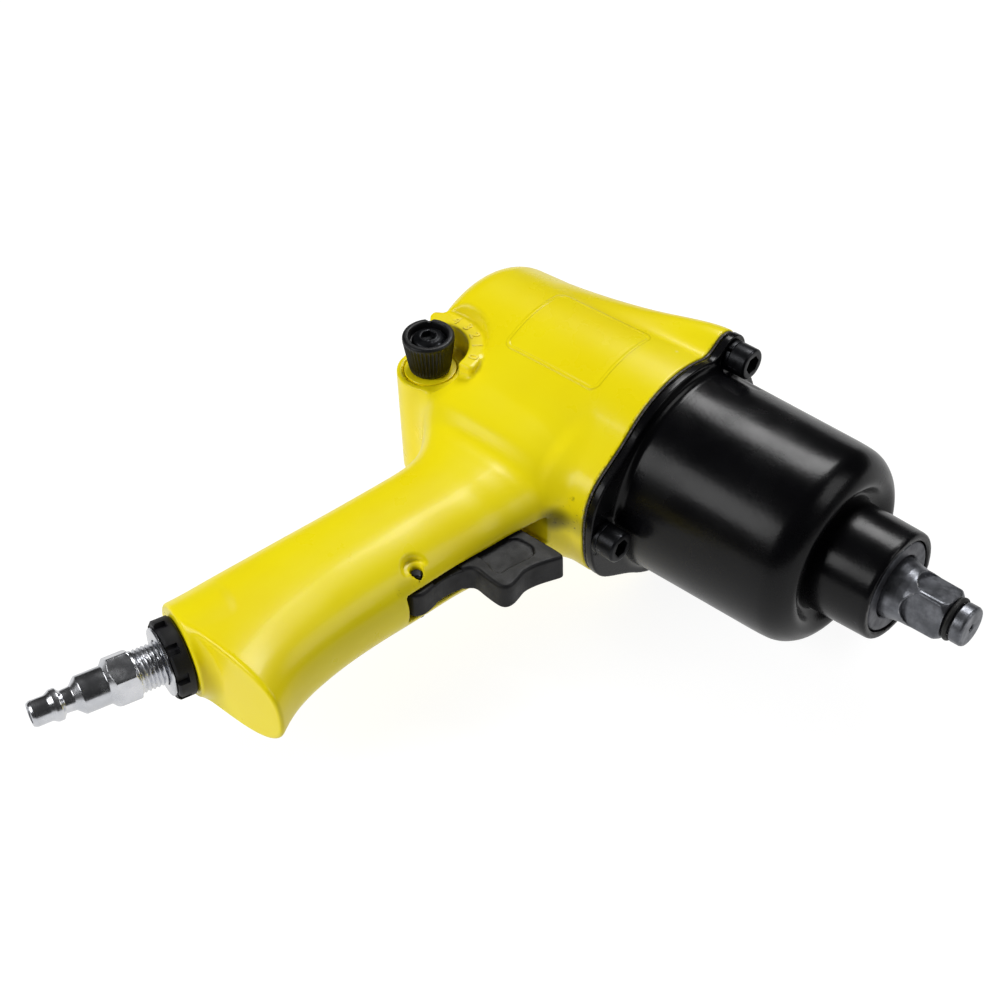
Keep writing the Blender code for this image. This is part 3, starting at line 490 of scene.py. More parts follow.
def housing_marks(g, colour, roughness, normal):
    """Soot speckles by the trigger slot, painted shade inside the slot's upper end, and the raised border of a
    blank badge.
    """
    speckle = g.ramp(g.noise(420.0, 5.0, 0.7), 0.56, 0.66)
    for place, reach, share, even in SOOT_AND_SHADE_MARKS:
        spots = g.blend(even, speckle, 1.0)
        soot_and_shade = g.calc("MULTIPLY", g.calc("MULTIPLY", g.near(place, reach), spots), share)
        # soot speckles, and painted shade where a mark is even
        colour = g.mix(soot_and_shade, colour, rgb(48, 42, 20))
    axes = g.add("ShaderNodeSeparateXYZ")
    g.link(g.place, axes.inputs[0])
    (cx, cy), (hx, hy), corner = BADGE
    gaps = []
    for socket, middle, half in ((axes.outputs[0], cx, hx), (axes.outputs[1], cy, hy)):
        away = g.calc("ABSOLUTE", g.calc("SUBTRACT", socket, middle * MM))
        gaps.append(g.calc("MAXIMUM", g.calc("SUBTRACT", away, (half - corner) * MM), 0.0))
    square = g.calc("ADD", *[g.calc("MULTIPLY", item, item) for item in gaps])
    gap = g.calc("ABSOLUTE", g.calc("SUBTRACT", g.calc("SQRT", square), corner * MM))
    line = g.ramp(gap, 0.25 * MM, 0.8 * MM, 1.0, 0.0)
    side = g.ramp(axes.outputs[2], 10.0 * MM, 14.0 * MM)
    return colour, roughness, g.bump(g.calc("MULTIPLY", line, side), 0.25 * MM, 1.0, normal)


# Yellow paint: painted shade in its hollows, and soot speckles with painted shade inside the trigger slot from its
# marks.
YELLOW = finish("paint_yellow", rgb(250, 229, 8), rgb(253, 235, 16), rough=(0.26, 0.36), patch=25.0,
                grain=700.0, depth=0.03, wear=rgb(252, 238, 120), wear_from=0.57, coat=0.12,
                sheen=0.36, hollow_shade=0.35, extra=housing_marks)
DIGIT = finish("paint_digits", rgb(250, 229, 50), rgb(255, 240, 90), rough=(0.3, 0.4),
               wear=rgb(255, 246, 170), depth=0.01)
BLACK_PAINT = finish("paint_black", rgb(6, 6, 8), rgb(12, 12, 14), rough=(0.2, 0.3), patch=40.0,
                     grain=800.0, depth=0.03, wear=rgb(60, 62, 66), wear_from=0.57,
                     wear_metal=0.3, coat=0.03, sheen=0.24)
OXIDE = finish("steel_black_oxide", rgb(22, 23, 26), rgb(34, 35, 38), metal=0.7, rough=(0.3, 0.42),
               patch=300.0, grain=2500.0, depth=0.01, wear=rgb(120, 122, 128), wear_metal=0.9)
PHOSPHATE = finish("steel_phosphated", rgb(98, 100, 105), rgb(132, 134, 140), metal=0.85,
                   rough=(0.3, 0.46), patch=220.0, grain=2200.0, depth=0.02,
                   wear=rgb(205, 205, 205), wear_from=0.52, wear_metal=1.0)
STEEL = finish("steel_ground", rgb(150, 152, 155), rgb(176, 178, 180), metal=1.0, rough=(0.22, 0.36),
               patch=160.0, grain=2600.0, depth=0.008, wear=rgb(215, 216, 218), wear_metal=1.0)
IRON = finish("iron_machined", rgb(104, 104, 106), rgb(130, 130, 132), metal=0.9, rough=(0.36, 0.5),
              patch=130.0, grain=1500.0, depth=0.02, wear=rgb(190, 190, 190), wear_metal=1.0)
ZINC = finish("zinc_bright", rgb(214, 216, 221), rgb(234, 235, 239), metal=1.0, rough=(0.2, 0.32),
              patch=120.0, grain=1800.0, depth=0.004, wear=rgb(226, 227, 230), wear_metal=1.0)
BRASS = finish("brass_turned", rgb(196, 158, 76), rgb(214, 180, 98), metal=1.0, rough=(0.25, 0.38),
               patch=180.0, grain=1800.0, depth=0.01, wear=rgb(236, 210, 140), wear_metal=1.0)
BUSH = finish("sintered_bush", rgb(74, 75, 80), rgb(98, 99, 104), metal=0.85, rough=(0.34, 0.5),
              patch=260.0, grain=3200.0, depth=0.03, wear=rgb(180, 180, 182), wear_metal=1.0)
KNOB_LOOK = finish("plastic_knob", rgb(12, 12, 13), rgb(20, 20, 22), rough=(0.36, 0.5), patch=220.0,
                   grain=2600.0, depth=0.02, wear=rgb(44, 44, 46), wear_from=0.56, sheen=0.4)
TRIGGER_LOOK = finish("plastic_trigger", rgb(16, 16, 18), rgb(25, 25, 28), rough=(0.42, 0.58),
                      patch=140.0, grain=2800.0, depth=0.04, wear=rgb(52, 52, 56), sheen=0.35)
SEAL = finish("rubber_seal", rgb(14, 14, 14), rgb(24, 24, 24), rough=(0.45, 0.62), patch=300.0,
              grain=3000.0, depth=0.02, wear=rgb(50, 50, 50))
PAPER = finish("gasket_paper", rgb(34, 32, 30), rgb(52, 49, 45), rough=(0.7, 0.85), patch=400.0,
               grain=3000.0, depth=0.04, wear=rgb(90, 86, 80))
FIBRE = finish("vane_fibre", rgb(104, 72, 44), rgb(132, 94, 60), rough=(0.5, 0.65), patch=500.0,
               grain=3000.0, depth=0.03, wear=rgb(160, 122, 86))


# ------------------------ joint flange

LUG = ((-20.0, 0.0), (24.1, 23.0), 2.7)  # centre, half sizes and power of the lower lug
FILLET = 5.0                             # between the castings' main shapes
SCREW_BORE = SCREW_R + FIT
CASE_BORE_R = 28.9


def flange_outline(y, z, inset=0.0):
    """Round joint flange with two ears above and the wide lug below."""
    ring = np.hypot(y, z) - (FLANGE_R - inset)
    ears = [np.hypot(y - s[0], z - s[1]) - (EAR_R - inset) for s in (SCREWS[0], SCREWS[2])]
    ring = join(join(ring, ears[0], FILLET), ears[1], FILLET)
    return join(ring, lug_field(y, z) + inset, FILLET)


def lug_field(y, z):
    """Distance, roughly, to the superellipse of the lower lug."""
    (cy, cz), (hy, hz), power = LUG
    a, b = np.abs(y - cy) / hy, np.abs(z - cz) / hz
    grown = np.maximum((a ** power + b ** power) ** (1.0 / power), 1e-6)
    return np.hypot(y - cy, z - cz) * (1.0 - 1.0 / grown) * 0.97


def polar_outline(field, turns):
    """Radius at which a star-shaped outline is met in each direction."""
    low, high = np.full(turns.shape, 20.0), np.full(turns.shape, 60.0)
    for _ in range(40):
        middle = (low + high) / 2.0
        inside = field(middle * np.cos(turns), middle * np.sin(turns)) < 0.0
        low, high = np.where(inside, middle, low), np.where(inside, high, middle)
    return low


# ------------------------ motor housing

# Handle sections: (y, rear x, front x, half width, power behind, power ahead)
HANDLE = smooth_curve((
    (4.0, 12.5, 78.5, 29.5, 4.0, 3.0), (-20.0, 14.0, 78.0, 27.5, 4.0, 3.0),
    (-30.0, 15.0, 77.5, 25.0, 4.0, 3.0), (-38.0, 15.5, 76.0, 23.0, 4.0, 2.8),
    (-42.0, 17.0, 74.8, 21.6, 4.0, 2.7), (-47.0, 21.2, 73.5, 18.2, 3.8, 2.6),
    (-52.0, 25.0, 72.2, 17.4, 3.5, 2.5), (-57.0, 27.2, 71.2, 16.9, 3.3, 2.4),
    (-62.0, 28.0, 70.2, 16.4, 3.3, 2.3), (-68.0, 27.7, 69.3, 16.1, 3.3, 2.3),
    (-80.0, 25.8, 67.2, 15.7, 3.3, 2.2), (-94.0, 23.3, 65.5, 15.5, 3.2, 2.2),
    (-108.0, 20.6, 63.6, 15.3, 3.1, 2.2), (-120.0, 18.2, 62.4, 15.0, 3.0, 2.3),
    (-130.0, 16.2, 62.2, 14.9, 2.9, 2.4), (-138.0, 14.6, 62.8, 14.8, 2.8, 2.5),
    (-145.0, 13.2, 64.4, 14.7, 2.7, 2.6), (-152.5, 11.7, 67.5, 14.6, 2.7, 2.7),
    (-160.0, 10.2, 71.0, 14.5, 2.7, 2.7)))[::-1]
HANDLE_END = -152.5
DIAL_TOP = 27.6
DIAL_R = (12.2, 17.4)
DIAL_END = math.radians(132.0)
SLOT = ((57.0, -98.6), (74.0, -98.6), (88.0, -74.0), (88.0, -49.0), (76.0, -47.2), (57.0, -49.0))
SLOT_HALF = 5.2
STEM_Y = -66.0
BARREL_EDGE = 9.0                # rounding of the barrel's rear edge
BORE_R = 27.2                    # motor bore
BORE_REAR_X = 20.0
LUG_REAR_X = 68.0
RIB_SINK = 0.26                  # how steeply a screw's rib sinks into the barrel
RIB_BLEND = 7.0
RIB_LEN = 56.0
HANDLE_TOP = 4.0                 # the handle's upper end, inside the barrel
INLET_BOSS_R = 13.6
INLET_BOSS_REAR = -16.0          # along the inlet's axis, as are the next two
INLET_RECESS = (-12.0, 14.0)     # middle and half length
INLET_BORE = (-42.0, 18.0)       # middle and half length
RECESS_R = 8.5
AIR_BORE_R = 5.0
VALVE_BOSS_R = 10.6
VALVE_BOSS_Z = (-21.0, 19.0)     # lowest and highest
DIAL_ROOT_Z = 6.0                # lower end of the dial arc, inside the casting
DIAL_WALL_LEAN = 0.47
SLEEVE_BORE_R = 7.7
SLEEVE_BORE_Z = (3.0, 17.0)      # middle and half length
COLLAR_BORE_R = 8.5
COLLAR_BORE_Z = 15.6
SCREW_HOLE_X = 70.0
PIN_HOLE_R = 1.9
PIN_DISH_R = 3.8
PIN_DISH_Z = 10.2
THROTTLE_BORE_R = 5.0
THROTTLE_BORE_X = (46.0, 13.0)   # middle and half length


def barrel_radius(x):
    """Grows forward along a slightly crowned line."""
    return 34.0 + 0.0464 * (x - 20.0) - 0.000195 * (x - 20.0) * (x - 48.0)


def handle_field(x, y, z):
    """Distance, roughly, to the handle's section at each height."""
    values = [np.interp(y, HANDLE[:, 0], HANDLE[:, k]) for k in range(1, 6)]
    back, front, half, power_back, power_front = values
    u = x - (back + front) / 2.0
    a, b = np.abs(u) / ((front - back) / 2.0), np.abs(z) / half
    power = np.where(u > 0.0, power_front, power_back)
    grown = np.maximum((a ** power + b ** power) ** (1.0 / power), 1e-6)
    return np.hypot(u, z) * (1.0 - 1.0 / grown) * 0.92


def rib_field(x, y, z, screw):
    """Rib that carries a screw and sinks into the barrel towards the rear."""
    back = FACE_X - x
    reach = np.hypot(*screw)
    sink = RIB_SINK * (np.sqrt(np.maximum(back, 0.0) ** 2 + RIB_BLEND ** 2) - RIB_BLEND)
    share = (reach - sink) / reach
    gap = np.hypot(y - screw[0] * share, z - screw[1] * share) - EAR_R
    return np.maximum(gap, back - RIB_LEN)


def housing_field(p):
    x, y, z = p[:, 0], p[:, 1], p[:, 2]
    rho = np.hypot(y, z)
    body = meet(rho - barrel_radius(x), -x, BARREL_EDGE)
    for screw in (SCREWS[0], SCREWS[2]):
        body = join(body, rib_field(x, y, z, screw), FILLET)
    body = join(body, meet(lug_field(y, z), LUG_REAR_X - x, 2.0), FILLET)

    handle = meet(handle_field(x, y, z), np.maximum(HANDLE_END - y, y - HANDLE_TOP), 1.6)
    t = (p - INLET) @ INLET_AXIS
    boss = meet(round_rod(p, INLET, "INLET", INLET_BOSS_R), INLET_BOSS_REAR - t, 2.0)
    handle = meet(join(handle, boss, 3.0), t, 1.1)
    body = join(body, handle, FILLET)

    knob = np.hypot(x - KNOB_X, y - KNOB_Y)
    valve = meet(knob - VALVE_BOSS_R, VALVE_BOSS_Z[0] - z, 1.5)
    valve = meet(valve, z - VALVE_BOSS_Z[1], 0.8)
    body = join(body, valve, FILLET)
    beyond = -math.sin(DIAL_END) * (x - KNOB_X) + math.cos(DIAL_END) * (y - KNOB_Y)
    spread = meet(KNOB_Y - y, beyond, 0.4)
    height = np.maximum(DIAL_ROOT_Z - z, z - DIAL_TOP - 2.0)
    arc = meet(meet(knob - DIAL_R[1], spread, 1.6), height)
    body = join(body, arc, 1.5)
    wall = DIAL_R[1] + FIT + (z - DIAL_TOP) * DIAL_WALL_LEAN
    pocket = meet((knob - wall) * 0.9, DIAL_TOP - z, 0.8)
    well = meet(knob - DIAL_R[0], VALVE_BOSS_Z[1] - z, 0.5)
    body = carve(carve(body, pocket, 1.0), well, 0.6)

    body = meet(body, x - FACE_X, 0.4)
    body = np.maximum(body, -x)
    body = carve(body, meet(rho - BORE_R, BORE_REAR_X - x, 0.5), 0.4)
    sleeve = np.abs(z - SLEEVE_BORE_Z[0]) - SLEEVE_BORE_Z[1]
    body = carve(body, meet(knob - SLEEVE_BORE_R, sleeve), 0.25)
    body = carve(body, meet(knob - COLLAR_BORE_R, COLLAR_BORE_Z - z), 0.25)
    for screw in SCREWS:
        hole = np.hypot(y - screw[0], z - screw[1]) - SCREW_BORE
        body = carve(body, np.maximum(hole, SCREW_HOLE_X - x), 0.3)
    slot = meet(outline_field(x, y, SLOT), np.abs(z) - SLOT_HALF, 0.8)
    body = carve(body, slot, 0.7)
    pin = np.hypot(x - PIN_X, y - PIN_Y)
    body = carve(body, pin - PIN_HOLE_R, 0.3)
    body = carve(body, meet(pin - PIN_DISH_R, PIN_DISH_Z - np.abs(z), 0.4), 1.0)
    throttle = np.hypot(y - STEM_Y, z) - THROTTLE_BORE_R
    reach = np.abs(x - THROTTLE_BORE_X[0]) - THROTTLE_BORE_X[1]
    body = carve(body, np.maximum(throttle, reach), 0.4)
    recess = round_rod(p, INLET, "INLET", RECESS_R)
    body = carve(body, np.maximum(recess, np.abs(t - INLET_RECESS[0]) - INLET_RECESS[1]), 0.4)
    bore = recess + RECESS_R - AIR_BORE_R
    return carve(body, np.maximum(bore, np.abs(t - INLET_BORE[0]) - INLET_BORE[1]), 0.3)


STEP = 0.65   # grid step of the two castings
solid("housing_shell", housing_field, HOUSING_LOW, HOUSING_HIGH, STEP, YELLOW, "tool_body",
      ["motor_housing"])


# ------------------------ hammer case

def case_outline():
    """(x, radius) round the case's wall, from the rear of the bore to the nose and back."""
    lip = smooth_curve(((-76.0, 32.6), (-60.0, 32.4), (-42.0, 32.2), (-30.0, 32.0), (-25.2, 31.3),
                        (-21.7, 29.2), (-19.6, 26.6), (-18.9, 24.6), (-19.5, 22.6),
                        (-21.6, 20.6), (-22.6, 19.0), (-21.4, 18.0), (-18.4, 17.8),
                        (-10.0, 17.6), (-1.4, 17.4)))
    shape = [(-81.6, CASE_BORE_R), (-81.6, 32.6)] + [tuple(point) for point in lip]
    shape += [(-0.5, 17.2), (0.0, 16.6), (0.0, 15.2), (-0.4, 14.9), (-31.0, 14.9), (-31.0, 14.2),
              (-33.6, 14.2), (-33.6, CASE_BORE_R)]
    return [(NOSE_X + along, radius) for along, radius in shape]


CASE_OUTLINE = case_outline()
HEAD_ROOM = (CASE_X + FLANGE_T + 6.4, 6.4)  # middle and half length of the screws' hollows
HEAD_ROOM_R = 6.0
SCREW_HOLE_LEN = 9.0
BORE_END = 34.0                             # where the wide bore ends, behind the nose face
DEEP_INSIDE = -9.0                          # a field value that cuts nothing


def case_field(p):
    x, y, z = p[:, 0], p[:, 1], p[:, 2]
    rho = np.hypot(y, z)
    wall = outline_field(x, rho, CASE_OUTLINE)
    middle = CASE_X + FLANGE_T / 2.0
    plate = meet(flange_outline(y, z), np.abs(x - middle) - FLANGE_T / 2.0, 0.5)
    body = join(wall, plate, 2.6)
    body = np.maximum(body, CASE_X - x)
    body = np.maximum(body, np.where(x < NOSE_X - BORE_END, CASE_BORE_R - rho, DEEP_INSIDE))
    for screw in SCREWS:
        reach = np.hypot(y - screw[0], z - screw[1])
        seat = np.abs(x - HEAD_ROOM[0]) - HEAD_ROOM[1]
        body = carve(body, meet(reach - HEAD_ROOM_R, seat, 0.4), 0.6)
        hole = np.maximum(reach - SCREW_BORE, x - CASE_X - SCREW_HOLE_LEN)
        body = carve(body, hole, 0.3)
    return body


solid("case_shell", case_field, CASE_LOW, CASE_HIGH, STEP, BLACK_PAINT, "tool_body",
      ["hammer_case"])


# ------------------------ gasket

def gasket():
    low, high = span("flange_gasket")
    turns = np.linspace(0.0, 2.0 * math.pi, 360, endpoint=False)
    outer = polar_outline(lambda y, z: flange_outline(y, z, FIT), turns)
    inner = np.full(turns.shape, CASE_BORE_R)
    rows = [(low[0], inner), (low[0], outer), (high[0], outer), (high[0], inner)]
    verts = [(x, r * math.cos(a), r * math.sin(a)) for x, radii in rows
             for r, a in zip(radii, turns)]
    count = len(turns)
    faces = []
    for i in range(4):
        for j in range(count):
            k = (j + 1) % count
            i2 = (i + 1) % 4
            faces.append((i * count + j, i * count + k, i2 * count + k, i2 * count + j))
    mesh_object("gasket_ring", verts, faces, PAPER, "tool_body", ["flange_gasket"])


gasket()


# ------------------------ case screws and washers

def hexagon(limit):
    """Turns round points inside a radius into a hexagonal socket."""
    def shape(along, radius, turn):
        lean = np.mod(turn, math.pi / 3.0) - math.pi / 6.0
        return np.where(radius <= limit, radius * math.cos(math.pi / 6.0) / np.cos(lean), radius)
    return shape


SCREW_HEAD_LEN = 6.0


def screws():
    for number, (y, z) in enumerate(SCREWS, 1):
        low, high = span("case_screw_%d" % number)
        tip, top = low[0], high[0]
        head = top - SCREW_HEAD_LEN
        profile = [(tip, 0.0), (tip, 2.4), (tip + 0.6, SCREW_R), (head, SCREW_R), (head, 5.0),
                   (top - 0.5, 5.0), (top, 4.5), (top, 3.1), (top - 0.3, 2.9),
                   (top - 3.2, 2.9), (top - 3.2, 0.0)]
        socket = hexagon(3.15)

        def shape(along, radius, turn, top=top):
            inside = (radius < 3.15) & (along > top - 3.3)
            return np.where(inside, socket(along, radius, turn), radius)

        turned("screw_%d" % number, profile, "X", (0.0, y, z), OXIDE, "tool_body",
               ["case_screw_%d" % number], steps=96, edge=0.25, shape=shape)
        low, high = span("spring_washer_%d" % number)
        split = math.atan2(z, y) + math.radians(70.0)
        turned("washer_%d" % number, [(low[0], 3.35), (low[0], 5.1), (high[0], 5.1),
                                      (high[0], 3.35)],
               "X", (0.0, y, z), OXIDE, "tool_body", ["spring_washer_%d" % number],
               steps=64, edge=0.2, arc=(split + 0.12, split + 2 * math.pi - 0.12))


screws()


# ------------------------ anvil and its bush

SQUARE_HALF = 6.35
SQUARE_TURN = math.radians(-15.0)
ANVIL_OUTLINE = [(NOSE_X + along, radius) for along, radius in (
    (-72.4, -1.0), (-72.4, 10.0), (-71.9, 10.5), (-41.8, 10.5), (-41.8, 12.8), (-41.3, 13.2),
    (-34.6, 13.2), (-34.0, 12.6), (-34.0, 9.6), (0.6, 9.6), (1.5, 9.45), (3.2, 8.95),
    (5.4, 8.55), (16.4, 8.35), (17.0, 8.1), (17.9, 7.2), (18.2, 6.7), (18.2, 5.0),
    (20.9, 5.0), (20.9, 6.1), (21.1, 6.3), (24.0, 6.3), (24.6, 6.0), (24.8, 5.4), (24.8, 1.3),
    (24.4, 1.0), (21.5, 1.0), (21.5, -1.0))]
FLAT_REAR = 11.6     # where the square's flats start to run out, ahead of the nose
RUN_OUT_R = 6.0
FLAT_FRONT = 18.15
JAW_R = 13.0
JAW_HALF = 23.0      # half of a jaw's spread, in degrees
# Each jaw's rear and front end, and the angle at which it starts
JAWS = ((-72.4, -57.8, 288.0), (-57.0, -42.2, 108.0))


def anvil_field(p):
    x, y, z = p[:, 0], p[:, 1], p[:, 2]
    rho = np.hypot(y, z)
    body = outline_field(x, rho, ANVIL_OUTLINE)
    ahead = x - NOSE_X
    for i in range(4):
        turn = SQUARE_TURN + math.pi / 2.0 * i
        out = y * math.cos(turn) + z * math.sin(turn)
        across = -y * math.sin(turn) + z * math.cos(turn)
        rear = np.hypot(ahead - FLAT_REAR, across) - RUN_OUT_R
        rear = np.where(ahead < FLAT_REAR, rear, -RUN_OUT_R)
        cut = np.maximum(np.maximum(rear, ahead - FLAT_FRONT), SQUARE_HALF - out)
        body = carve(body, cut, 0.35)
    for start, end, first in JAWS:
        middle = math.radians(first + JAW_HALF)
        half = math.radians(JAW_HALF)
        turn = np.arctan2(z, y) - middle
        turn = np.abs(np.mod(turn + math.pi, 2.0 * math.pi) - math.pi) - half
        jaw = meet(rho - JAW_R, turn * np.maximum(rho, 5.0), 0.4)
        centre, size = (start + end) / 2.0, (end - start) / 2.0 - 0.2
        jaw = meet(jaw, np.abs(ahead - centre) - size, 0.4)
        body = join(body, jaw, 0.3)
    return body


solid("anvil_drive", anvil_field, ANVIL_LOW, ANVIL_HIGH, 0.38, PHOSPHATE,
      "drive_anvil", ["anvil"])


def anvil_rings():
    low, high = span("friction_ring")
    middle, section = (low[0] + high[0]) / 2.0, (high[0] - low[0]) / 2.0
    reach = high[1] - section
    circle = [(middle + section * math.sin(a), reach - section * math.cos(a))
              for a in np.linspace(0.0, 2.0 * math.pi, 14, endpoint=False)]
    turned("ring_in_groove", circle, "X", (0, 0, 0), SEAL, "drive_anvil", ["friction_ring"],
           edge=0.05)
    low, high = span("anvil_bushing")
    turned("nose_bush", [(low[0], 9.9), (low[0], 14.6), (high[0] - 0.5, 14.6),
                         (high[0], 14.1), (high[0], 10.5), (high[0] - 0.6, 9.9)],
           "X", (0, 0, 0), BUSH, "tool_body", ["anvil_bushing"], steps=128,
           edge=0.2)


anvil_rings()


# ------------------------ regulator knob and dial

KNOB = (KNOB_X, KNOB_Y, 0.0)
RIBS = 40
NOTCH = math.radians(130.0)


def knob_pieces():
    low, high = span("regulator_knob")
    bottom, top = low[2], high[2]
    floor = top - 2.6
    profile = [(bottom, 3.7), (bottom, 6.4), (bottom + 1.2, 6.7), (top - 1.4, 8.2),
               (top - 0.5, 8.1), (top, 7.5), (top, 6.3), (top - 0.6, 6.0), (floor, 5.9),
               (floor, 2.1), (floor - 3.4, 2.1), (floor - 3.4, 3.7)]

    def ribs(along, radius, turn):
        share = np.clip((along - bottom - 0.8) / 1.2, 0, 1) * np.clip((top - 0.9 - along) / 1.2, 0, 1)
        side = radius > 6.5
        depth = 0.55 * share * (0.5 - 0.5 * np.cos(RIBS * turn)) ** 0.7
        radius = radius - np.where(side, depth, 0.0)
        gap = np.abs(np.mod(turn - NOTCH + math.pi, 2 * math.pi) - math.pi) * 8.0
        dent = np.clip(1.4 - gap, 0.0, 1.0) * np.clip((along - top + 3.0) / 2.0, 0.0, 1.0)
        return radius - np.where(side, 0.9 * dent, 0.0)

    turned("knob_grip", profile, "Z", KNOB, KNOB_LOOK, "regulator", ["regulator_knob"],
           steps=RIBS * 9, edge=0.3, shape=ribs, fine=(bottom, top, 0.7))
    low, high = span("knob_screw")
    seat = high[2] - 2.2
    profile = [(low[2], 0.0), (low[2], 1.4), (seat, 1.4), (seat, 5.3), (seat + 0.5, 5.25),
               (seat + 1.0, 4.9), (seat + 1.4, 4.5), (seat + 1.75, 3.9), (seat + 2.0, 3.3),
               (seat + 2.2, 2.9), (seat + 2.2, 2.5), (seat + 2.0, 2.3), (seat + 0.5, 2.3),
               (seat + 0.5, 0.0)]
    socket = hexagon(2.55)

    def shape(along, radius, turn):
        return np.where(along > seat + 0.4, socket(along, radius, turn), radius)

    turned("knob_button_screw", profile, "Z", KNOB, OXIDE, "regulator", ["knob_screw"],
           steps=96, edge=0.12, shape=shape)
    low, high = span("valve_sleeve")
    turned("sleeve_tube", [(low[2], 5.6), (low[2], 7.4), (15.8, 7.4), (15.8, 8.2),
                           (high[2], 8.2), (high[2], 5.6)],
           "Z", KNOB, YELLOW, "tool_body", ["valve_sleeve"], steps=96, edge=0.3)


knob_pieces()

DIGIT_TURNS = (19.0, 41.0, 60.0, 78.0, 97.0)
DIGIT_R = 14.8
DIGIT_HEIGHT = 3.2


def dial_digits():
    """Raised dial numbers, which stand along the radius."""
    for value, degrees in enumerate(DIGIT_TURNS):
        curve = bpy.data.curves.new("digit", "FONT")
        curve.body = str(value)
        curve.size = DIGIT_HEIGHT * 1.4 * MM
        curve.align_x, curve.align_y = "CENTER", "CENTER"
        curve.extrude = 0.16 * MM
        curve.bevel_depth = 0.05 * MM
        curve.resolution_u = 4
        text = bpy.data.objects.new("digit", curve)
        bpy.context.scene.collection.objects.link(text)
        bpy.context.view_layer.update()
        mesh = bpy.data.meshes.new_from_object(text.evaluated_get(
            bpy.context.evaluated_depsgraph_get()))
        bpy.data.objects.remove(text)
        turn = math.radians(degrees)
        spin = Matrix.Rotation(turn - math.pi / 2.0, 4, "Z")
        place = Vector((KNOB_X + DIGIT_R * math.cos(turn), KNOB_Y + DIGIT_R * math.sin(turn),
                        DIAL_TOP + 0.05)) * MM
        mesh.transform(Matrix.Translation(place) @ spin)
        mesh.materials.clear()
        mesh.materials.append(DIGIT)
        obj = bpy.data.objects.new("dial_digit_%d" % value, mesh)
        bpy.context.scene.collection.objects.link(obj)
        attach(obj, "tool_body")


dial_digits()


# ------------------------ trigger

TRIGGER_HALF = 4.6
TRIGGER_SIDE = smooth_curve([(x + NOSE_X, y) for x, y in (
    (-79.4, -57.0), (-80.4, -59.2), (-82.1, -62.6), (-83.3, -65.8), (-83.8, -68.6),
    (-83.3, -71.6), (-83.0, -74.2), (-83.5, -76.2), (-85.0, -77.4), (-87.5, -77.6),
    (-91.5, -77.3), (-95.0, -76.9), (-97.0, -77.7), (-98.7, -80.5), (-100.0, -85.0),
    (-100.2, -88.6), (-99.9, -92.0), (-100.2, -94.6), (-101.8, -96.6), (-104.4, -97.0),
    (-106.6, -95.4), (-107.6, -92.0), (-107.2, -86.0), (-104.6, -77.0), (-102.6, -70.0),
    (-102.4, -57.5), (-101.2, -55.8), (-97.5, -55.6), (-88.0, -55.5), (-81.5, -55.5),
    (-79.8, -56.0))], 3, True)
TRIGGER_PAD = smooth_curve([(x + NOSE_X, y) for x, y in (
    (-97.7, -72.6), (-94.6, -72.7), (-91.1, -73.9), (-88.8, -73.0), (-88.4, -70.2),
    (-86.5, -62.2), (-87.7, -60.0), (-89.8, -59.0), (-94.4, -59.4), (-96.4, -61.1),
    (-103.0, -62.0), (-105.0, -66.0), (-103.0, -71.5))], 3, True)


def trigger_field(p):
    x, y, z = p[:, 0], p[:, 1], p[:, 2]
    outline = outline_field(x, y, TRIGGER_SIDE)
    body = meet(outline, np.abs(z) - TRIGGER_HALF, 1.1)
    pad = meet(outline_field(x, y, TRIGGER_PAD), TRIGGER_HALF - 0.8 - np.abs(z), 0.3)
    body = carve(body, pad, 0.35)
    bar = np.maximum(np.maximum(y + 79.0, -89.0 - y), TRIGGER_HALF - 0.9 - np.abs(z))
    body = carve(body, bar, 0.35)
    return carve(body, np.hypot(x - PIN_X, y - PIN_Y) - PIN_HOLE_R, 0.2)


low_corner, high_corner = span("trigger")
solid("trigger_lever_shell", trigger_field, low_corner, high_corner, 0.36,
      TRIGGER_LOOK, "trigger_lever", ["trigger"])
low_corner, high_corner = span("trigger_pin")
PIN_END = high_corner[2] - 0.7              # the pin's ends lie below the handle's skin
turned("cross_pin", [(-PIN_END, 0.0), (-PIN_END, 1.25), (0.35 - PIN_END, 1.6),
                     (PIN_END - 0.35, 1.6), (PIN_END, 1.25), (PIN_END, 0.0)],
       "Z", (PIN_X, PIN_Y, 0.0), OXIDE, "tool_body", ["trigger_pin"], steps=48,
       edge=0.1)


# ------------------------ throttle spring

SPRING_TURNS = 4
SPRING_PARTS = 24                           # rings of wire in one turn
WIRE_SIDES = 10


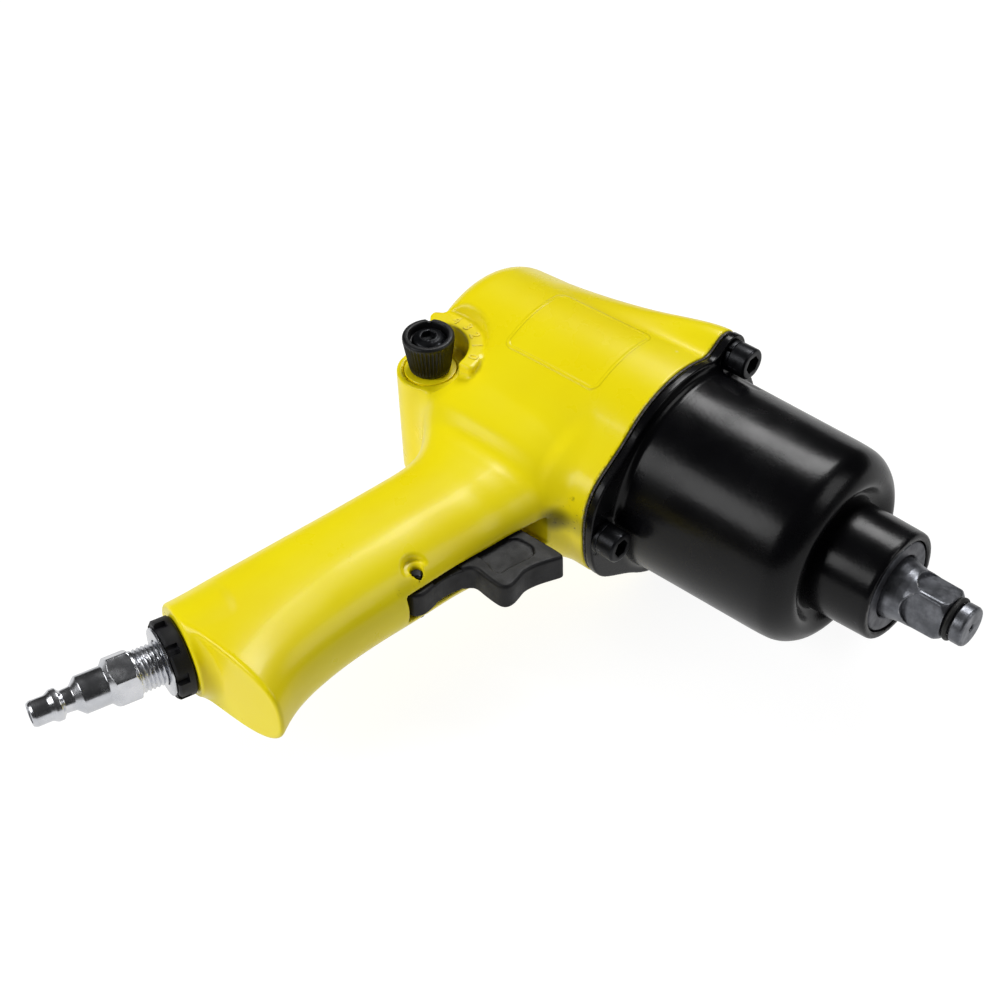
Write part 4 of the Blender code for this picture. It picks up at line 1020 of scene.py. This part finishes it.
def spring():
    """Coil behind the throttle's poppet, as one fixed shape; the real coil is pressed together as the stem slides
    back.
    """
    low, high = span("throttle_spring")
    wire = 0.5
    reach = high[2] - wire
    start, end = low[0] + wire, high[0] - wire
    pitch = (end - start) / SPRING_TURNS
    verts = []
    for i in range(SPRING_TURNS * SPRING_PARTS + 1):
        turn = 2.0 * math.pi * i / SPRING_PARTS
        for k in range(WIRE_SIDES):
            around = 2.0 * math.pi * k / WIRE_SIDES
            radius = reach + wire * math.cos(around)
            verts.append((start + pitch * i / SPRING_PARTS + wire * math.sin(around),
                          STEM_Y + radius * math.cos(turn), radius * math.sin(turn)))
    rings = len(verts) // WIRE_SIDES
    faces = [tuple(reversed(range(WIRE_SIDES))),
             tuple((rings - 1) * WIRE_SIDES + k for k in range(WIRE_SIDES))]
    for i in range(rings - 1):
        for k in range(WIRE_SIDES):
            k2 = (k + 1) % WIRE_SIDES
            faces.append((i * WIRE_SIDES + k, i * WIRE_SIDES + k2,
                          (i + 1) * WIRE_SIDES + k2, (i + 1) * WIRE_SIDES + k))
    obj = mesh_object("throttle_coil", verts, faces, STEEL, "tool_body", ["throttle_spring"])
    bm = bmesh.new()
    bm.from_mesh(obj.data)
    bmesh.ops.recalc_face_normals(bm, faces=bm.faces)
    bm.to_mesh(obj.data)
    bm.free()
    obj.data.shade_smooth()
    obj.data.set_sharp_from_angle(angle=math.radians(50.0))
    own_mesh(obj)


spring()


# ------------------------ inlet, deflector and nipple

def inlet_pieces():
    collar = 6.0
    turned("inlet_bush", [(-24.0, 3.2), (-24.0, 8.2), (-21.4, 8.2), (-21.4, 7.0), (-19.2, 7.0),
                          (-19.2, 8.2), (collar, 8.2), (collar, 10.3), (collar + 0.8, 10.3),
                          (collar + 0.8, 6.8), (-9.0, 6.8), (-9.0, 5.0), (-22.6, 5.0),
                          (-22.6, 3.2)],
           "INLET", INLET, ZINC, "tool_body", ["inlet_bushing"], steps=96,
           edge=0.2)

    def notches(along, radius, turn):
        away = np.mod(turn - math.radians(12.0) + math.pi / 8.0, math.pi / 4.0) - math.pi / 8.0
        open_here = (np.abs(away) * 12.0 < 1.5) & (along > 2.4) & (radius > 10.4)
        return np.where(open_here, 10.4, radius)

    turned("deflector_ring", [(0.3, 8.5), (0.3, 9.0), (3.0, 9.0), (3.0, 11.0), (0.3, 11.0),
                              (0.3, 11.5), (0.8, 12.0), (2.35, 12.0), (2.45, 12.0), (5.2, 12.0),
                              (5.8, 11.4), (5.8, 10.45), (5.8, 8.5)],
           "INLET", INLET, TRIGGER_LOOK, "tool_body", ["exhaust_deflector"],
           steps=360, edge=0.04, shape=notches)

    def thread_and_hex(along, radius, turn):
        wave = np.abs(np.mod(along / 1.3 - turn / (2.0 * math.pi), 1.0) * 2.0 - 1.0)
        fade = np.clip((along - 5.0) / 0.8, 0.0, 1.0) * np.clip((14.6 - along) / 0.8, 0.0, 1.0)
        threaded = (radius > 6.3) & (along < 15.0)
        radius = radius - np.where(threaded, 0.6 * wave * fade, 0.0)
        lean = np.mod(turn - math.radians(10.0) + math.pi / 6.0, math.pi / 3.0) - math.pi / 6.0
        flat = 7.0 / np.cos(lean)
        return np.where((along > 14.9) & (along < 23.0), np.minimum(radius, flat), radius)

    turned("nipple_plug", [(-8.0, 2.6), (-8.0, 5.7), (-7.0, 6.5), (15.0, 6.5), (15.0, 7.4),
                           (15.5, 7.95), (21.4, 7.95), (22.0, 7.3), (22.8, 6.4), (23.4, 5.7),
                           (31.0, 5.7), (33.2, 3.6), (36.2, 3.4), (37.2, 4.8), (38.8, 4.8),
                           (40.4, 3.9), (44.8, 3.9), (NIPPLE_END, 3.4), (NIPPLE_END, 2.6)],
           "INLET", INLET, ZINC, "tool_body", ["air_nipple"], steps=144,
           edge=0.25, shape=thread_and_hex, fine=(-7.0, 24.0, 0.16))


inlet_pieces()


# ------------------------ finishes of the inner pieces

INNER_LOOKS = (
    (IRON, ("motor_cylinder", "front_end_plate", "rear_end_plate")),
    (BRASS, ("throttle_guide", "inlet_screen")),
    (SEAL, ("throttle_o_ring", "spool_o_ring", "inlet_o_ring")),
    (FIBRE, tuple("rotor_vane_%d" % n for n in range(1, 7))),
)


def dress_inner_pieces():
    """The pieces not named above are steel."""
    chosen = {node: look for look, nodes in INNER_LOOKS for node in nodes}
    for name, obj in frame["nodes"].items():
        obj.data.materials.clear()
        obj.data.materials.append(chosen.get(name, STEEL))


dress_inner_pieces()


# ------------------------ floor, light and camera

def floor():
    bm = bmesh.new()
    bmesh.ops.create_grid(bm, x_segments=8, y_segments=8, size=6.0)
    mesh = bpy.data.meshes.new("floor")
    bm.to_mesh(mesh)
    bm.free()
    obj = bpy.data.objects.new("floor", mesh)
    obj.location = (0.0, 0.0, (HOUSING_LOW[2] - 0.2) * MM)
    look = Graph("floor_white")
    white = look.mix(look.noise(3.0), rgb(118, 118, 118), rgb(126, 126, 126))
    look.put(look.bsdf.inputs["Base Color"], white)
    look.bsdf.inputs["Roughness"].default_value = 0.9
    look.bsdf.inputs["Specular IOR Level"].default_value = 0.0
    look.bsdf.inputs["Emission Color"].default_value = (1.0, 1.0, 1.0, 1.0)
    seen = look.add("ShaderNodeLightPath").outputs["Is Camera Ray"]
    look.put(look.bsdf.inputs["Emission Strength"], look.blend(seen, 0.62, 0.92))
    obj.data.materials.append(look.material)
    bpy.context.scene.collection.objects.link(obj)


def softbox(name, place, target, size, watts, glossy=True):
    light = bpy.data.lights.new(name, "AREA")
    light.shape = "RECTANGLE"
    light.size, light.size_y = size
    light.energy = watts
    obj = bpy.data.objects.new(name, light)
    obj.location = place
    obj.visible_glossy = glossy
    aim = Vector(target) - Vector(place)
    obj.rotation_euler = aim.to_track_quat("-Z", "Y").to_euler()
    bpy.context.scene.collection.objects.link(obj)


CAMERA_PLACE = (0.373875, -0.385765, 0.444416)
CAMERA_AXES = ((0.74448, 0.66704, -0.02859), (-0.44520, 0.52789, 0.72328),
               (0.49754, -0.52574, 0.68996))     # its right, up and backward directions
LENS = 76.27


def camera():
    data = bpy.data.cameras.new("camera")
    data.sensor_width = 36.0
    data.lens = LENS
    data.clip_start = 0.01
    obj = bpy.data.objects.new("camera", data)
    turn = Matrix(CAMERA_AXES).transposed().to_4x4()
    obj.matrix_world = Matrix.Translation(CAMERA_PLACE) @ turn
    bpy.context.scene.collection.objects.link(obj)
    bpy.context.scene.camera = obj


def studio():
    world = bpy.data.worlds.new("studio")
    world.use_nodes = True
    back = world.node_tree.nodes["Background"]
    tree = world.node_tree
    place = tree.nodes.new("ShaderNodeTexCoord")
    axes = tree.nodes.new("ShaderNodeSeparateXYZ")
    height = tree.nodes.new("ShaderNodeMapRange")
    tree.links.new(place.outputs["Generated"], axes.inputs[0])
    tree.links.new(axes.outputs[2], height.inputs["Value"])
    for key, value in (("From Min", 0.0), ("From Max", 0.8), ("To Min", 0.36), ("To Max", 0.74)):
        height.inputs[key].default_value = value
    tree.links.new(height.outputs["Result"], back.inputs["Strength"])
    bpy.context.scene.world = world
    middle = (0.09, -0.05, 0.0)
    softbox("key", (-0.15, 0.55, 0.85), middle, (0.5, 0.4), 6.2)
    softbox("side", (0.75, 0.35, 0.6), middle, (0.5, 0.5), 1.6)
    softbox("front", (-0.35, -0.75, 0.6), middle, (0.6, 0.4), 2.6)
    softbox("fill", (-0.25, -0.8, 0.5), middle, (0.6, 0.4), 3.6, False)
    bpy.context.scene.view_settings.view_transform = "Standard"


floor()
studio()
camera()
